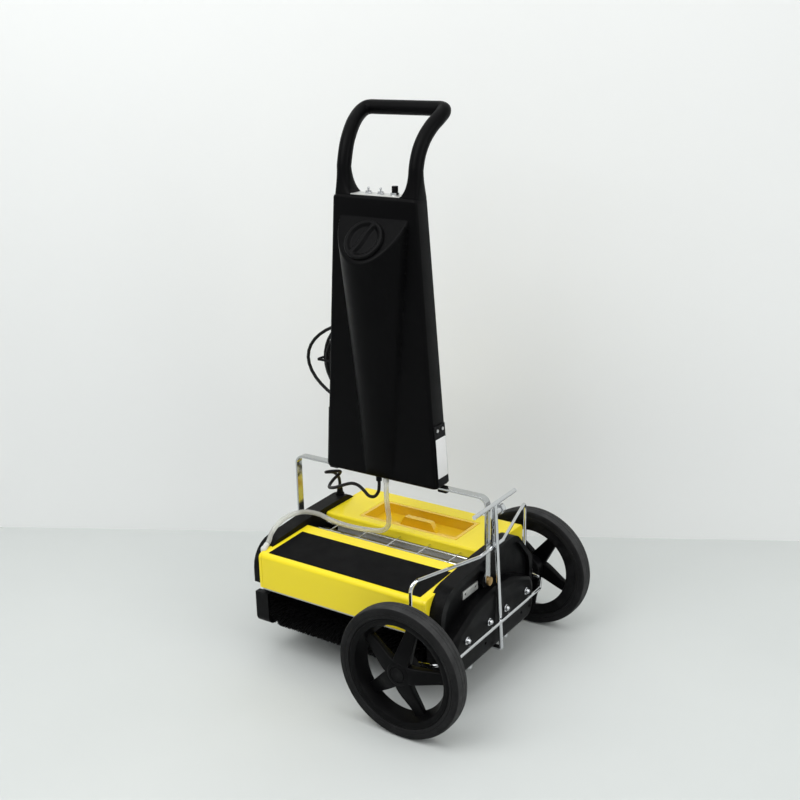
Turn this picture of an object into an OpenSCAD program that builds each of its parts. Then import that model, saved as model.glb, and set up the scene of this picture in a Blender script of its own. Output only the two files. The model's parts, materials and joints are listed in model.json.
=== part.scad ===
// Escalator cleaning machine: twin counter-rotating brushes under yellow covers, a tall black water
// tank that is also the handle, and a two-wheeled chrome trolley hooked to one end.
// Millimetres, +Z up, +X towards the trolley, +Y to the rear.

/* [Wheels] */
// Outer diameter of the tyres
wheel_d = 305; // [290:1:320]
// Width of a tyre
tyre_w = 40; // [34:1:46]
// Radial thickness of a tyre
tyre_t = 26; // [20:1:32]
// Distance of the wheels' middles behind the rear hood
wheel_room = 58; // [54:1:75]
// Distance of the axles inside the end housing's face
axle_inset = 33; // [24:1:40]
// Diameter of the stub axles
axle_d = 16; // [12:1:20]
// Diameter of a wheel hub
hub_d = 62; // [50:1:74]
// Thickness of the wheel spokes
spoke_t = 20; // [14:1:26]

/* [Body] */
// Width of the covers between the end housings
body_w = 450; // [430:1:470]
// Thickness of an end housing
housing_t = 38; // [34:1:44]
// Distance of the front cover's face before the bail
body_front = 209; // [205:1:220]
// Distance of the rear hood's back behind the bail
body_rear = 240; // [232:1:250]
// Height of the end housings' lower edge
housing_z = 78; // [74:1:82]
// Height of the end housings' top
housing_top = 303; // [296:1:310]
// Height of the covers' lower edges
cover_z = 188; // [182:1:196]
// Height of the front cover's front edge
cover_front_z = 275; // [270:1:280]
// Height of the front cover's back edge
cover_back_z = 282; // [278:1:286]
// Wall of the covers
cover_t = 3; // [2:0.5:4]
// Height of the rear hood's top
hood_z = 288; // [285:1:294]
// Width of the window in the rear hood
window_w = 270; // [240:1:290]
// Depth of the window in the rear hood
window_d = 104; // [92:1:110]

/* [Brushes] */
// Diameter over the bristles
brush_d = 146; // [136:1:150]
// Diameter of the brush cores
core_d = 60; // [50:1:70]
// Distance between the two brush shafts
brush_pitch = 278; // [272:1:284]
// Height of the brush shafts
brush_z = 130; // [126:1:136]
// Discs of bristles on each brush
bristle_discs = 10; // [6:1:10]
// Strands in each disc
bristle_strands = 24; // [18:1:24]
// Diameter of the pick-up drum
drum_d = 104; // [96:1:108]
// Height of the drum's shaft
drum_z = 206; // [202:1:210]
// Diameter of the brush and drum shafts
shaft_d = 16; // [12:1:18]

/* [Handle] */
// Distance of the bail's outer faces from the end housings
bail_room = 7; // [6:0.5:10]
// Width of the bail's strip
bail_w = 20; // [16:1:24]
// Thickness of the bail's strip
bail_t = 5; // [4:0.5:5]
// Height of the bail's top
bail_top = 452; // [446:1:460]
// Height of the bail's pivots
pivot_z = 246; // [244:1:250]
// Width of the handle tank at its foot
tank_w = 308; // [290:1:320]
// Width of the handle tank at its top
tank_top_w = 218; // [210:1:230]
// Height of the handle tank
tank_h = 652; // [600:1:700]
// Depth of the handle tank at its foot
tank_d = 59; // [54:1:66]
// Depth of the handle tank at its top
tank_top_d = 50; // [48:1:54]
// Diameter of the filler cap
cap_d = 94; // [88:1:100]
// Diameter of the grip
grip_d = 33; // [28:1:36]
// Rise of the grip over the tank
grip_rise = 177; // [150:1:210]

/* [Trolley] */
// Diameter of the frame's wire
wire_d = 8; // [6:1:10]
// Diameter of the lifting rod
rod_d = 10; // [8:1:12]
// Height of the frame's upper corners
frame_top = 340; // [334:1:350]
// Height of the cross bar on the lifting rod
t_bar_z = 438; // [430:1:446]
// Length of the cross bar
t_bar_l = 184; // [140:1:220]

/* [Cords] */
// Diameter of the mains cord
cord_d = 8; // [7:0.5:8.5]
// Diameter of the link cable between body and handle
link_d = 8; // [6:0.5:9]
// Diameter of the water hose
hose_d = 12; // [10:0.5:13]

/* [Hidden] */
$fn = 64;

function unit(v) = v / norm(v);

// Overrun of every cut
cut = 1;
// Clearance between bodies that move past each other
gap = 0.3;
// Clearance between pieces seated on each other
seat = 0.1;
// Radial clearance of a shaft in its bore
run = 0.05;
// Sides of small round ends in a hull
hull_fn = 32;

wheel_r = wheel_d / 2;
inner_x = body_w / 2;
outer_x = inner_x + housing_t;
track = 2 * (body_rear + wheel_room);
wheel_x = outer_x - axle_inset;
mid_shift = 4.5;
body_mid = (body_rear - body_front) / 2 - mid_shift;
front_y = body_mid - brush_pitch / 2;
rear_y = body_mid + brush_pitch / 2;
shaft_r = shaft_d / 2;
axle_r = axle_d / 2;

// End housings
rim_w = 16;
recess_t = 10;
panel_x = outer_x - recess_t;
front_set = 16;
rear_set = 8;
housing_front = -body_front + front_set;
housing_rear = body_rear - rear_set;
shoulder_drop = 88;
shoulder_run = 82;
notch_d = 22;
notch_h = 26;
notch_z0 = cover_z - notch_h;
bush_r = 14;
bush_l = 22;
bush_inset = 3;
boss_r = 18;
pivot_r = 6;
edge_r_shares = [0.05, 0.1, 0.13, 0.12, 0.16, 0.15];

// Gear cover
gear_margin = 21;
brush_pulley_r = 26;
gear_half = brush_pitch / 2 + brush_pulley_r + gear_margin;
gear_drop = 17;
gear_top = pivot_z - gear_drop;
gear_side_z = 176;
gear_out = 24;
gear_x = outer_x + gear_out;
gear_wall = 6;
gear_edge = 13;
gear_step = 5;
gear_soft_x = 9;
gear_holes = [-51, 120, 161];
gear_hole_z = 110;
gear_hole_r = 3.5;

// Covers
cover_r = 12;
lip_h = 16;
cover_back = 29;
hood_front = 47;
hood_lip = 24;
panel_side = 13;
panel_w = body_w - 2 * panel_side;
panel_front = body_front - panel_side;
panel_back = 67;
panel_t = 2;
panel_sink = 1.4;
window_y0 = 78;
seat_step = 6;
seat_t = 3;
seat_frame = 5;
lid_depth = 25;
lid_t = 2.5;
lid_flange_t = 2.2;
lid_clear = 1;
ridge_l = 108;
ridge_top = 78;
ridge_w = 16;
ridge_h = 26;
ridge_r = 6;
cover_slope = atan((cover_back_z - cover_front_z) / (body_front - cover_back));

// Guard, tie rods and hidden drive
guard_z = 271;
guard_rod_r = 2;
guard_y = [-10, 28];
wire_fn = 10;
guard_wire_r = 1.5;
guard_wires = 5;
guard_pitch = 85;
tie_r = 6;
tie_sink = 3;
tie_a_off = 65;
tie_b_off = 55;
tie_z = brush_z + brush_d / 2 - tie_sink;
tie_a_y = rear_y - tie_a_off;
tie_b_y = rear_y + tie_b_off;
tie_c_y = -62;
tie_c_z = 240;
tray_side = 20;
tray_w = body_w - 2 * tray_side;
tray_d = 156;
tray_h = 52;
tray_t = 3;
motor_r = 40;
motor_z = 112;
motor_l = 300;
box_half = 54;
box_z0 = 82;
box_h = 68;
drive_off = 27;
drive_z = 118;
drive_r = 20;
stub_r = 7;
pulley_w = 14;
pulley_off = 5;
pulley_x = panel_x + pulley_off;
belt_t = 3;
belt_w = 10;
bristle_root_w = 7;
bristle_tip_w = 4;
bristle_w = 5;
sleeve_t = 4;
brush_end = 8;
brush_l = body_w - 2 * brush_end;
drum_t = 3;
spray_r = 6;
spray_in = 20;
spray_y = -body_front + spray_in;
spray_z = 248;

// Routes of the hose and the link cable, drawn for one body and carried to the one in hand
drawn_half = 225;
drawn_front = 209;
drawn_top = 303;
drawn_foot = 452.3;
tank_z = bail_top + gap;
function laid(p) = [
    p.x * inner_x / drawn_half, p.y * body_front / drawn_front,
    housing_top + (p.z - drawn_top) * (tank_z - housing_top) / (drawn_foot - drawn_top)
];
hose_drawn = [
    [9, -22, 440.5], [9, -22, 424], [8, -20, 400], [6, -14, 372], [2, -4, 342], [-8, 6, 315], [-30, 13, 296],
    [-62, 15, 288], [-100, 13, 285], [-145, 12, 285], [-185, 10, 290], [-214, 2, 301], [-238, -20, 310],
    [-250, -52, 313], [-254, -86, 311], [-252, -118, 304], [-247, -142, 296], [-239, -160, 288],
    [-236.2, -172, 283]
];
link_drawn = [
    [-243, 132, 326.3], [-243, 132, 337], [-242, 126, 353], [-240, 106, 371], [-236, 80, 382],
    [-228, 57, 391], [-213, 43, 400], [-197, 46, 404], [-190, 64, 399], [-201, 77, 386], [-213, 64, 370],
    [-205, 38, 364], [-182, 20, 372], [-152, 6, 386], [-122, -5, 402], [-96, -13, 413], [-74, -18, 414],
    [-56, -21, 406], [-41, -22, 396], [-25, -22, 398], [-14, -22, 412], [-11, -22, 428], [-11, -22, 440.5]
];
elbow_drawn = [-234, -186, 277];
hose_route = [for (p = hose_drawn) laid(p)];
link_route = [for (p = link_drawn) laid(p)];

// Small fittings on the body
elbow = laid(elbow_drawn);
elbow_r = 8;
barb_r = 6.5;
barb_out = hose_route[len(hose_route) - 1];
barb_end = unit(barb_out - hose_route[len(hose_route) - 2]);
fitting_z0 = 240;
gland_x = -link_route[0].x;
gland_y = link_route[0].y;
gland_r = 11;
gland_h = 30;
gland_z0 = link_route[0].z - gap - gland_h;
gland_tip_r = 6;
foot_x = inner_x + housing_t / 2;
foot_y = [0, 150];
foot_r = 10;
pad_r = 17;
pad_h = 10;
end_foot_r = 7;
end_foot_h = 12;
end_foot_y = [-86, 82];
end_foot_in = 17;
end_foot_x = gear_x - end_foot_in;
nut_r = 10;
nut_t = 4;
dome_r = 6.5;
nut_offsets = [-139, -39, 39, 139];
nut_z = 160;
plate_y0 = -88;
plate_l = 66;
plate_h = 20;
plate_t = 3;
plate_z = 232;
plate_hole_r = 3;
plate_hole_inset = 10;

// Trolley
post_in = 2;
post_room = 40;
post_y = track / 2 - post_room;
post_x = wheel_x - post_in;
wire_r = wire_d / 2;
wire_bend = 22;
rod_r = rod_d / 2;
rod_top_in = 3;
rod_top_y = 4;
rod_top = [gear_x - rod_top_in, rod_top_y, t_bar_z];
hook_t = 4;
rod_foot_out = 12;
rod_foot = [gear_x + rod_foot_out, rod_foot_out, housing_z - hook_t / 2 - seat];
mid_half = 52;
mid_drop = 10;
mid_z = frame_top - mid_drop;
knee_in = 12;
knee_out = 17;
knee = [outer_x + knee_out, post_y - knee_in];
low_in = 68;
low_half = post_y - low_in;
low_z = wheel_r;
strip_w = 14;
strip_t = 3.5;
strip_z0 = mid_z + wire_r;
strip_h = 92;
strip_hole_r = 3.5;
strip_holes = 4;
hook_l = 24;
hook_w = 16;
boss_drop = 20;
boss_z = t_bar_z - boss_drop;
boss_y = 20;
knob_screw_r = 4;
knob_r = 12;
knob_l = 14;
knob_lobes = 6;
lobe_r = 3;
hub_l = 46;
hub_out = 20;
spoke_turns = [77, 90];
rim_ring_t = 14;
rim_ring_w = 34;
collar_r = 14;
collar_l = 7;
spoke_n = 5;
spoke_root_w = 40;
spoke_tip_w = 27;
spoke_out = 6;
web_lip = 1.5;
window_r = 6;
tyre_edge_r = 12;
groove_w = 2;

// Bail and handle
bail_half = outer_x + bail_room;
bail_r = 22;
tank_front = -34;
tank_top = tank_z + tank_h;
tank_edge_r = 8;
cone_z0 = 8;
cone_drop = 44;
cone_z1 = tank_h - cone_drop;
cone_half0 = 37;
cone_half1 = 86;
cone_out0 = 5;
cone_out1 = 81;
ledge_fall = 46;
ledge_z = tank_h - ledge_fall;
ledge_run = 67;
ledge_drop = 85;
ledge_angle = atan(ledge_run / ledge_drop);
ledge_cut = 140;
cap_t = 9;
cap_lobe_t = 4;
cap_rib_w = 14;
cap_rib_h = 8;
cap_slide_share = 0.52;
block_l = 28;
block_h = 8;
block_w = 40;
block_in = 1;
block_x = tank_w / 2 - block_in;
outlet_x = hose_route[0].x;
outlet_y = hose_route[0].y;
outlet_r = 7;
outlet_l = 11;
link_end_x = link_route[len(link_route) - 1].x;
side_h = 140;
side_t = 2.5;
side_w = 44;
side_z0 = 8;
screw_r = 4;
screw_t = 1.6;
grip_in = 18;
grip_foot_x = tank_top_w / 2 - grip_in;
plate_in = 27;
plate_half = grip_foot_x - plate_in;
top_plate_t = 2;
top_plate_y0 = -28;
top_plate_y1 = 10;
bezel_x = [-28, 4];
button_x = 41;
ctrl_y = -9;
bezel_r = 9;
bezel_t = 6;
lever_r = 2.6;
lever_l = 9;
lever_barrel_r = 3.2;
lever_barrel_half = 2.6;
lever_hole_r = norm([lever_barrel_r, lever_barrel_half]) + gap;
collar_h = 6;
collar_t = 3;
button_r = 7;
button_h = 14;
button_travel = 4;

// Grip path: shares of its spread, reach and rise, from a foot to the middle of the bar
grip_spread = 16;
grip_foot_y = -11.5;
grip_reach = 110.5;
grip_foot_r = 17.6;
grip_shares = [
    [0, 0, 0.025], [0.19, 0.01, 0.145], [0.19, 0.023, 0.258], [0.19, 0.059, 0.371], [0.23, 0.113, 0.484],
    [0.33, 0.195, 0.597], [0.48, 0.323, 0.71], [0.72, 0.511, 0.823], [0.94, 0.72, 0.908], [0.86, 0.9, 0.97],
    [0.22, 0.985, 0.998], [-1.66, 1, 1]
];

// Mains cord coil on the back of the handle
coil_in = 60;
coil_x = coil_in - tank_w / 2;
coil_z = 692;
coil_half_w = 122;
coil_half_h = 112;
coil_loose = 44;
coil_pitch = 12;
coil_in_turns = 3.25;
coil_climb_turns = 0.5;
coil_y = 39;
coil_layer = 10.5;
coil_rings = 24;
coil_sides = 6;
coil_lead = 55;
coil_tail = 62;
cord_gland_r = 11;
cord_gland_tip_r = 6;
cord_gland_l = 34;
cord_boss = 30;
plug_r = 19;
plug_l = 48;
plug_nose_r = 9;
plug_nose_l = 12;
pin_r = 2.4;
pin_l = 19;
pin_pitch = 19;
tie_band_t = 1.6;
tie_band_h = 6;
hook_peg_r = 8;
hook_peg_l = 40;
hook_lip_h = 22;
hook_lip_t = 5;
hook_base = 34;
hook_base_t = 3;

// Middle of the bounding box along X, which becomes the origin
head_t = 6;
origin_x = (wheel_x + wheel_r - bail_half - head_t - gap) / 2;

function fillet(p, c, n, r, k) =
    let (u = unit(p - c), v = unit(n - c), half = acos(max(-1, min(1, u * v))) / 2)
    let (m = c + unit(u + v) * r / sin(half), s = u * r / tan(half) + c - m, e = v * r / tan(half) + c - m)
    let (a = atan2(s.y, s.x), turn = (atan2(e.y, e.x) - a + 540) % 360 - 180)
    r == 0 ? [c] : [for (i = [0:k]) m + r * [cos(a + turn * i / k), sin(a + turn * i / k)]];

// Closed outline with a radius at each corner
function rounded(corners, radii, k = 6) = [
    for (i = [0:len(corners) - 1])
        each fillet(corners[(i + len(corners) - 1) % len(corners)], corners[i],
                    corners[(i + 1) % len(corners)], radii[i], k)
];

function box_corners(w, d) = [[-w / 2, -d / 2], [w / 2, -d / 2], [w / 2, d / 2], [-w / 2, d / 2]];

// Smooth curve through points
function spline_point(a, b, c, d, t) =
    0.5 * (2 * b + (c - a) * t + (2 * a - 5 * b + 4 * c - d) * t * t + (3 * b - a - 3 * c + d) * t * t * t);
function smooth(p, k) = [
    for (i = [0:len(p) - 2])
        for (j = [0:k - 1])
            spline_point(p[max(i - 1, 0)], p[i], p[i + 1], p[min(i + 2, len(p) - 1)], j / k),
    p[len(p) - 1]
];

function tangents(p) = [for (i = [0:len(p) - 1]) unit(p[min(i + 1, len(p) - 1)] - p[max(i - 1, 0)])];
function carried(t, start) = [
    for (i = 0, n = unit(start - (start * t[0]) * t[0]); i < len(t);
         i = i + 1, n = i < len(t) ? unit(n - (n * t[i]) * t[i]) : n) n
];

// Round tube along a path, with one radius per point
module tube(path, radii, sides, start) {
    t = tangents(path);
    n = carried(t, start);
    rings = [
        for (i = [0:len(path) - 1])
            for (j = [0:sides - 1])
                let (a = 360 * j / sides)
                    path[i] + radii[i] * (cos(a) * n[i] + sin(a) * cross(t[i], n[i]))
    ];
    last = (len(path) - 1) * sides;
    walls = [
        for (i = [0:len(path) - 2])
            for (j = [0:sides - 1])
                let (a = i * sides + j, b = i * sides + (j + 1) % sides)
                    each [[a, b + sides, b], [a, a + sides, b + sides]]
    ];
    caps = [
        for (j = [1:sides - 2])
            each [[0, j, j + 1], [last, last + j + 1, last + j]]
    ];
    polyhedron(rings, concat(walls, caps), convexity = 10);
}

function same(path, r) = [for (p = path) r];

module along_x(x0, x1) {
    translate([x0, 0, 0]) rotate([90, 0, 90]) linear_extrude(x1 - x0) children();
}

module rod_x(x0, x1, y, z, r) {
    translate([x0, y, z]) rotate([0, 90, 0]) cylinder(h = x1 - x0, r = r);
}

module rod_y(y0, y1, x, z, r) {
    translate([x, y0, z]) rotate([-90, 0, 0]) cylinder(h = y1 - y0, r = r);
}

module link(a, b, r) {
    d = b - a;
    translate(a) rotate([0, acos(d.z / norm(d)), atan2(d.y, d.x)]) cylinder(h = norm(d), r = r);
}

// Bent wire: straight runs between corners, each corner turned on a radius
function bend(p, c, n, r, k) =
    let (u = unit(p - c), v = unit(n - c), half = acos(max(-1, min(1, u * v))) / 2)
    let (m = c + unit(u + v) * r / sin(half), s = c + u * r / tan(half) - m, e = c + v * r / tan(half) - m)
    let (turn = 180 - 2 * half)
    [for (i = [0:k]) m + (sin(turn * (1 - i / k)) * s + sin(turn * i / k) * e) / sin(turn)];
function bent(p, r, k = 5) = concat(
    [p[0]], [for (i = [1:len(p) - 2]) each bend(p[i - 1], p[i], p[i + 1], r, k)], [p[len(p) - 1]]);

module bent_wire(p, r) {
    path = bent(p, wire_bend);
    tube(path, same(path, r), wire_fn, [1, 0, 0]);
}

module both_ends() {
    children();
    mirror([1, 0, 0]) children();
}

// End housings
function housing_corners(inset) = [
    [housing_front + inset, housing_z + inset], [housing_rear - inset, housing_z + inset],
    [housing_rear - inset, housing_top - shoulder_drop],
    [housing_rear - shoulder_run, housing_top - inset],
    [0, housing_top - rim_w / 4 - inset], [housing_front + inset, housing_top - rim_w * 1.25 - inset]
];

module housing_outline(inset) {
    depth = housing_rear - housing_front;
    polygon(rounded(housing_corners(inset), edge_r_shares * (depth - inset)));
}

module housing_shell() {
    difference() {
        union() {
            difference() {
                along_x(inner_x, outer_x) housing_outline(0);
                along_x(panel_x, outer_x + cut) housing_outline(rim_w);
                translate([panel_x, housing_front + rim_w, housing_z - cut])
                    cube([recess_t + cut, housing_rear - housing_front - 2 * rim_w, gear_side_z - housing_z]);
            }
            rod_x(panel_x - cut, bail_half - bail_t - gap, 0, pivot_z, boss_r);
        }
        translate([inner_x - cut, housing_front - cut, notch_z0])
            cube([housing_t + 2 * cut, notch_d + cut, cover_z - notch_z0]);
        for (p = [[front_y, brush_z], [rear_y, brush_z], [body_mid, drum_z]])
            rod_x(inner_x - cut, inner_x + bush_inset + bush_l, p.x, p.y, bush_r + run);
        rod_x(inner_x + housing_t / 4, outer_x + boss_r, 0, pivot_z, pivot_r + run);
    }
}

module left_housing() {
    color("#161616") mirror([1, 0, 0]) housing_shell();
}

module right_housing() {
    color("#161616") difference() {
        housing_shell();
        along_x(panel_x, outer_x + cut) gear_outline(-gap);
        for (y = [front_y, rear_y]) rod_x(inner_x, panel_x + cut, y, brush_z, bush_r);
        for (s = [-1, 1]) rod_x(inner_x - cut, panel_x + cut, body_mid + s * drive_off, drive_z, stub_r + run);
    }
}

// Bulged cover over the drive
function gear_corners(inset) = [
    [body_mid - gear_half + inset, housing_z + inset], [body_mid + gear_half - inset, housing_z + inset],
    [body_mid + gear_half - inset, gear_side_z - inset / 2],
    [body_mid + gear_half / 2, gear_top - gear_edge - inset],
    [body_mid, gear_top - inset], [body_mid - gear_half / 2, gear_top - gear_edge - inset],
    [body_mid - gear_half + inset, gear_side_z - inset / 2]
];

module gear_outline(inset) {
    polygon(rounded(gear_corners(inset), [gear_edge, gear_edge * 2, gear_edge * 2, gear_half, gear_half,
                                          gear_half, gear_edge * 2], 5));
}

module gear_form(inset, x0, x1) {
    hull() {
        along_x(x0, x1 - gear_soft_x) gear_outline(inset);
        along_x(x0, x1 - gear_soft_x / 3) gear_outline(inset + gear_step);
        along_x(x0, x1) gear_outline(inset + gear_edge);
    }
}

module gear_cover() {
    color("#1b1b1b") difference() {
        gear_form(0, panel_x, gear_x);
        gear_form(gear_wall, panel_x - cut, gear_x - gear_wall);
        for (dy = gear_holes)
            rod_x(gear_x - 2 * gear_wall, gear_x + cut, body_mid + dy, gear_hole_z, gear_hole_r);
    }
}

module cover_nuts() {
    color("silver") for (dy = nut_offsets) translate([gear_x, body_mid + dy, nut_z]) rotate([0, 90, 0]) {
        cylinder(h = nut_t, r = nut_r, $fn = 6);
        translate([0, 0, nut_t]) cylinder(h = nut_t / 2, r = dome_r);
        translate([0, 0, nut_t * 1.5]) intersection() {
            sphere(r = dome_r);
            cylinder(h = dome_r, r = dome_r);
        }
    }
}

module end_feet() {
    color("silver") for (y = end_foot_y) translate([end_foot_x, y, housing_z - end_foot_h]) {
        cylinder(h = end_foot_h, r = end_foot_r);
    }
}

module catch_plate() {
    color("silver") difference() {
        translate([panel_x, plate_y0, plate_z]) cube([plate_t, plate_l, plate_h]);
        for (y = [plate_y0 + plate_hole_inset, plate_y0 + plate_l - plate_hole_inset])
            rod_x(panel_x - cut, panel_x + plate_t + cut, y, plate_z + plate_h / 2, plate_hole_r);
    }
}

// Yellow covers
module front_cover() {
    y0 = -body_front;
    y1 = -cover_back;
    color("#f4d814") difference() {
        along_x(-inner_x + gap, inner_x - gap) polygon(rounded(
            [[y0, cover_z], [y0, cover_front_z], [y1, cover_back_z], [y1, cover_back_z - lip_h],
             [y1 - cover_t, cover_back_z - lip_h], [y1 - cover_t, cover_back_z - cover_t],
             [y0 + cover_t, cover_front_z - cover_t], [y0 + cover_t, cover_z]],
            [0, cover_r, cover_t, 0, 0, 0, cover_r - cover_t, 0]));
        panel_place(panel_sink) translate([0, 0, panel_t])
            cube([panel_w + 2 * seat, panel_front - panel_back + 2 * seat, panel_t * 2], center = true);
    }
}

module panel_place(sink) {
    mid_y = -(panel_front + panel_back) / 2;
    mid_z_top = cover_front_z + (mid_y + body_front) * tan(cover_slope);
    translate([0, mid_y, mid_z_top]) rotate([cover_slope, 0, 0]) translate([0, 0, -sink]) children();
}

module inset_panel() {
    color("#1a1a1a") panel_place(panel_sink - seat) linear_extrude(panel_t)
        polygon(rounded(box_corners(panel_w, panel_front - panel_back), [for (i = [0:3]) panel_t]));
}

module rear_hood() {
    window_mid = window_y0 + window_d / 2;
    color("#f4d814") difference() {
        union() {
            along_x(-inner_x + gap, inner_x - gap) polygon(rounded(
                [[hood_front, hood_z - hood_lip], [hood_front, hood_z], [body_rear, hood_z],
                 [body_rear, cover_z],
                 [body_rear - cover_t, cover_z], [body_rear - cover_t, hood_z - cover_t],
                 [hood_front + cover_t, hood_z - cover_t], [hood_front + cover_t, hood_z - hood_lip]],
                [0, cover_r / 2, cover_r, 0, 0, cover_r - cover_t, cover_r / 2 - cover_t, 0]));
            translate([0, window_mid, hood_z - cover_t / 2 - seat_frame / 2])
                cube([window_w + 4 * seat_step, window_d + 4 * seat_step, seat_frame], center = true);
        }
        translate([0, window_mid, hood_z]) {
            cube([window_w, window_d, 4 * seat_frame], center = true);
            cube([window_w + 2 * seat_step, window_d + 2 * seat_step, 2 * seat_t], center = true);
        }
    }
}

module tank_lid() {
    pan = [window_w - 2 * lid_clear, window_d - 2 * lid_clear];
    flange = pan + 2 * seat_step * [1, 1];
    z0 = hood_z - seat_t + gap;
    color("#d99a1c", 0.7) translate([0, window_y0 + window_d / 2, z0]) {
        difference() {
            union() {
                linear_extrude(lid_flange_t)
                    polygon(rounded(box_corners(flange.x, flange.y), [for (i = [0:3]) seat_step]));
                translate([0, 0, -lid_depth]) linear_extrude(lid_depth + lid_flange_t)
                    polygon(rounded(box_corners(pan.x, pan.y), [for (i = [0:3]) seat_step]));
            }
            translate([0, 0, lid_t - lid_depth]) linear_extrude(lid_depth + cut + lid_flange_t)
                polygon(rounded(box_corners(pan.x - 2 * lid_t, pan.y - 2 * lid_t),
                                [for (i = [0:3]) seat_step - lid_t]));
        }
        translate([0, ridge_w / 2, lid_t - lid_depth]) rotate([90, 0, 0]) linear_extrude(ridge_w)
            polygon(rounded([[-ridge_l / 2, -lid_t / 2], [ridge_l / 2, -lid_t / 2], [ridge_top / 2, ridge_h],
                             [-ridge_top / 2, ridge_h]], [0, 0, ridge_r, ridge_r]));
    }
}

module recovery_tank() {
    z0 = tie_z + tie_r + seat;
    y0 = (tie_a_y + tie_b_y - tray_d) / 2;
    color("#c9c9c4") difference() {
        translate([-tray_w / 2, y0, z0]) cube([tray_w, tray_d, tray_h]);
        translate([-tray_w / 2 + tray_t, y0 + tray_t, z0 + tray_t])
            cube([tray_w - 2 * tray_t, tray_d - 2 * tray_t, tray_h]);
    }
}

// Guard over the drum
module wire_guard() {
    color("silver") {
        for (y = guard_y) rod_x(-inner_x, inner_x, y, guard_z, guard_rod_r, $fn = wire_fn);
        for (i = [0:guard_wires - 1])
            rod_y(-cover_back, hood_front, (i - (guard_wires - 1) / 2) * guard_pitch, guard_z + guard_rod_r,
                  guard_wire_r, $fn = wire_fn);
    }
}

module tie_rods() {
    color("silver") for (p = [[tie_a_y, tie_z], [tie_b_y, tie_z], [tie_c_y, tie_c_z]])
        rod_x(-inner_x, inner_x, p.x, p.y, tie_r);
}

// Drive
module motor() {
    x1 = motor_l / 2;
    color("#8a8d90") {
        rod_x(-x1, x1, body_mid, motor_z, motor_r);
        rod_x(-x1 - motor_r / 4, -x1, body_mid, motor_z, motor_r * 0.85);
    }
}

module gearbox() {
    color("#6d7073") translate([motor_l / 2, body_mid - box_half, box_z0])
        cube([inner_x - motor_l / 2, 2 * box_half, box_h]);
}

module belt(y_brush, y_drive) {
    x0 = pulley_x + (pulley_w - belt_w) / 2;
    color("#202020") along_x(x0, x0 + belt_w) difference() {
        belt_shape(y_brush, y_drive, gap + belt_t);
        belt_shape(y_brush, y_drive, gap);
    }
}

module belt_shape(y_brush, y_drive, out) {
    hull() {
        translate([y_brush, brush_z]) circle(r = brush_pulley_r + out, $fn = hull_fn);
        translate([y_drive, drive_z]) circle(r = drive_r + out, $fn = hull_fn);
    }
}

module front_belt() {
    belt(front_y, body_mid - drive_off);
}

module rear_belt() {
    belt(rear_y, body_mid + drive_off);
}

module drive_pulley(y) {
    color("#9a9da0") {
        rod_x(inner_x + gap, pulley_x + pulley_w, y, drive_z, stub_r);
        rod_x(pulley_x, pulley_x + pulley_w, y, drive_z, drive_r);
    }
}

module front_drive_pulley() {
    drive_pulley(body_mid - drive_off);
}

module rear_drive_pulley() {
    drive_pulley(body_mid + drive_off);
}

module shaft_bushes() {
    color("#b08d4a") both_ends() for (p = [[front_y, brush_z], [rear_y, brush_z], [body_mid, drum_z]])
        difference() {
            rod_x(inner_x + bush_inset, inner_x + bush_inset + bush_l, p.x, p.y, bush_r);
            rod_x(inner_x, inner_x + housing_t, p.x, p.y, shaft_r + run);
        }
}

// Brushes and drum
module brush_shaft(y) {
    color("#3a3a3a") {
        rod_x(-inner_x - bush_inset - bush_l + gap, pulley_x + pulley_w, y, brush_z, shaft_r);
        rod_x(-brush_l / 2, brush_l / 2, y, brush_z, core_d / 2);
        rod_x(pulley_x, pulley_x + pulley_w, y, brush_z, brush_pulley_r);
    }
}

function disc_points(root, tip) = [
    for (i = [0:bristle_strands - 1])
        let (a = 360 * i / bristle_strands, u = [cos(a), sin(a)], v = [-sin(a), cos(a)])
            each [u * root - v * bristle_root_w / 2, u * tip - v * bristle_tip_w / 2,
                  u * tip + v * bristle_tip_w / 2, u * root + v * bristle_root_w / 2]
];

module bristles(y) {
    root = core_d / 2 + sleeve_t / 2;
    pitch = (brush_l - bristle_w) / (bristle_discs - 1);
    color("#0f0f0f") translate([0, y, brush_z]) difference() {
        union() {
            rod_x(-brush_l / 2, brush_l / 2, 0, 0, core_d / 2 + sleeve_t);
            for (i = [0:bristle_discs - 1])
                rotate([180 / bristle_strands * i, 0, 0])
                    along_x(-brush_l / 2 + i * pitch, -brush_l / 2 + i * pitch + bristle_w)
                        polygon(disc_points(root, brush_d / 2));
        }
        rod_x(-brush_l, brush_l, 0, 0, core_d / 2 + seat);
    }
}

module front_brush_shaft() {
    brush_shaft(front_y);
}

module front_bristles() {
    bristles(front_y);
}

module rear_brush_shaft() {
    brush_shaft(rear_y);
}

module rear_bristles() {
    bristles(rear_y);
}

module pickup_drum() {
    x1 = inner_x + bush_inset + bush_l - gap;
    color("#aeb2b5") {
        rod_x(-x1, x1, body_mid, drum_z, shaft_r);
        difference() {
            rod_x(-brush_l / 2, brush_l / 2, body_mid, drum_z, drum_d / 2);
            rod_x(-brush_l / 2 + drum_t * 2, brush_l / 2 - drum_t * 2, body_mid, drum_z, drum_d / 2 - drum_t);
        }
    }
}

module spray_bar() {
    color("#c7c7c7") rod_x(-inner_x, inner_x, spray_y, spray_z, spray_r);
}

module hose_fitting() {
    color("#d8d8d8") difference() {
        union() {
            translate([elbow.x, elbow.y, fitting_z0]) cylinder(h = elbow.z - fitting_z0, r = elbow_r);
            translate(elbow) sphere(r = elbow_r);
            link(elbow, barb_out, barb_r);
        }
        link(barb_out + barb_end * gap, barb_out - barb_end * hose_d * 2, hose_d);
        along_x(-outer_x, -inner_x) housing_outline(0);
    }
}

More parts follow.
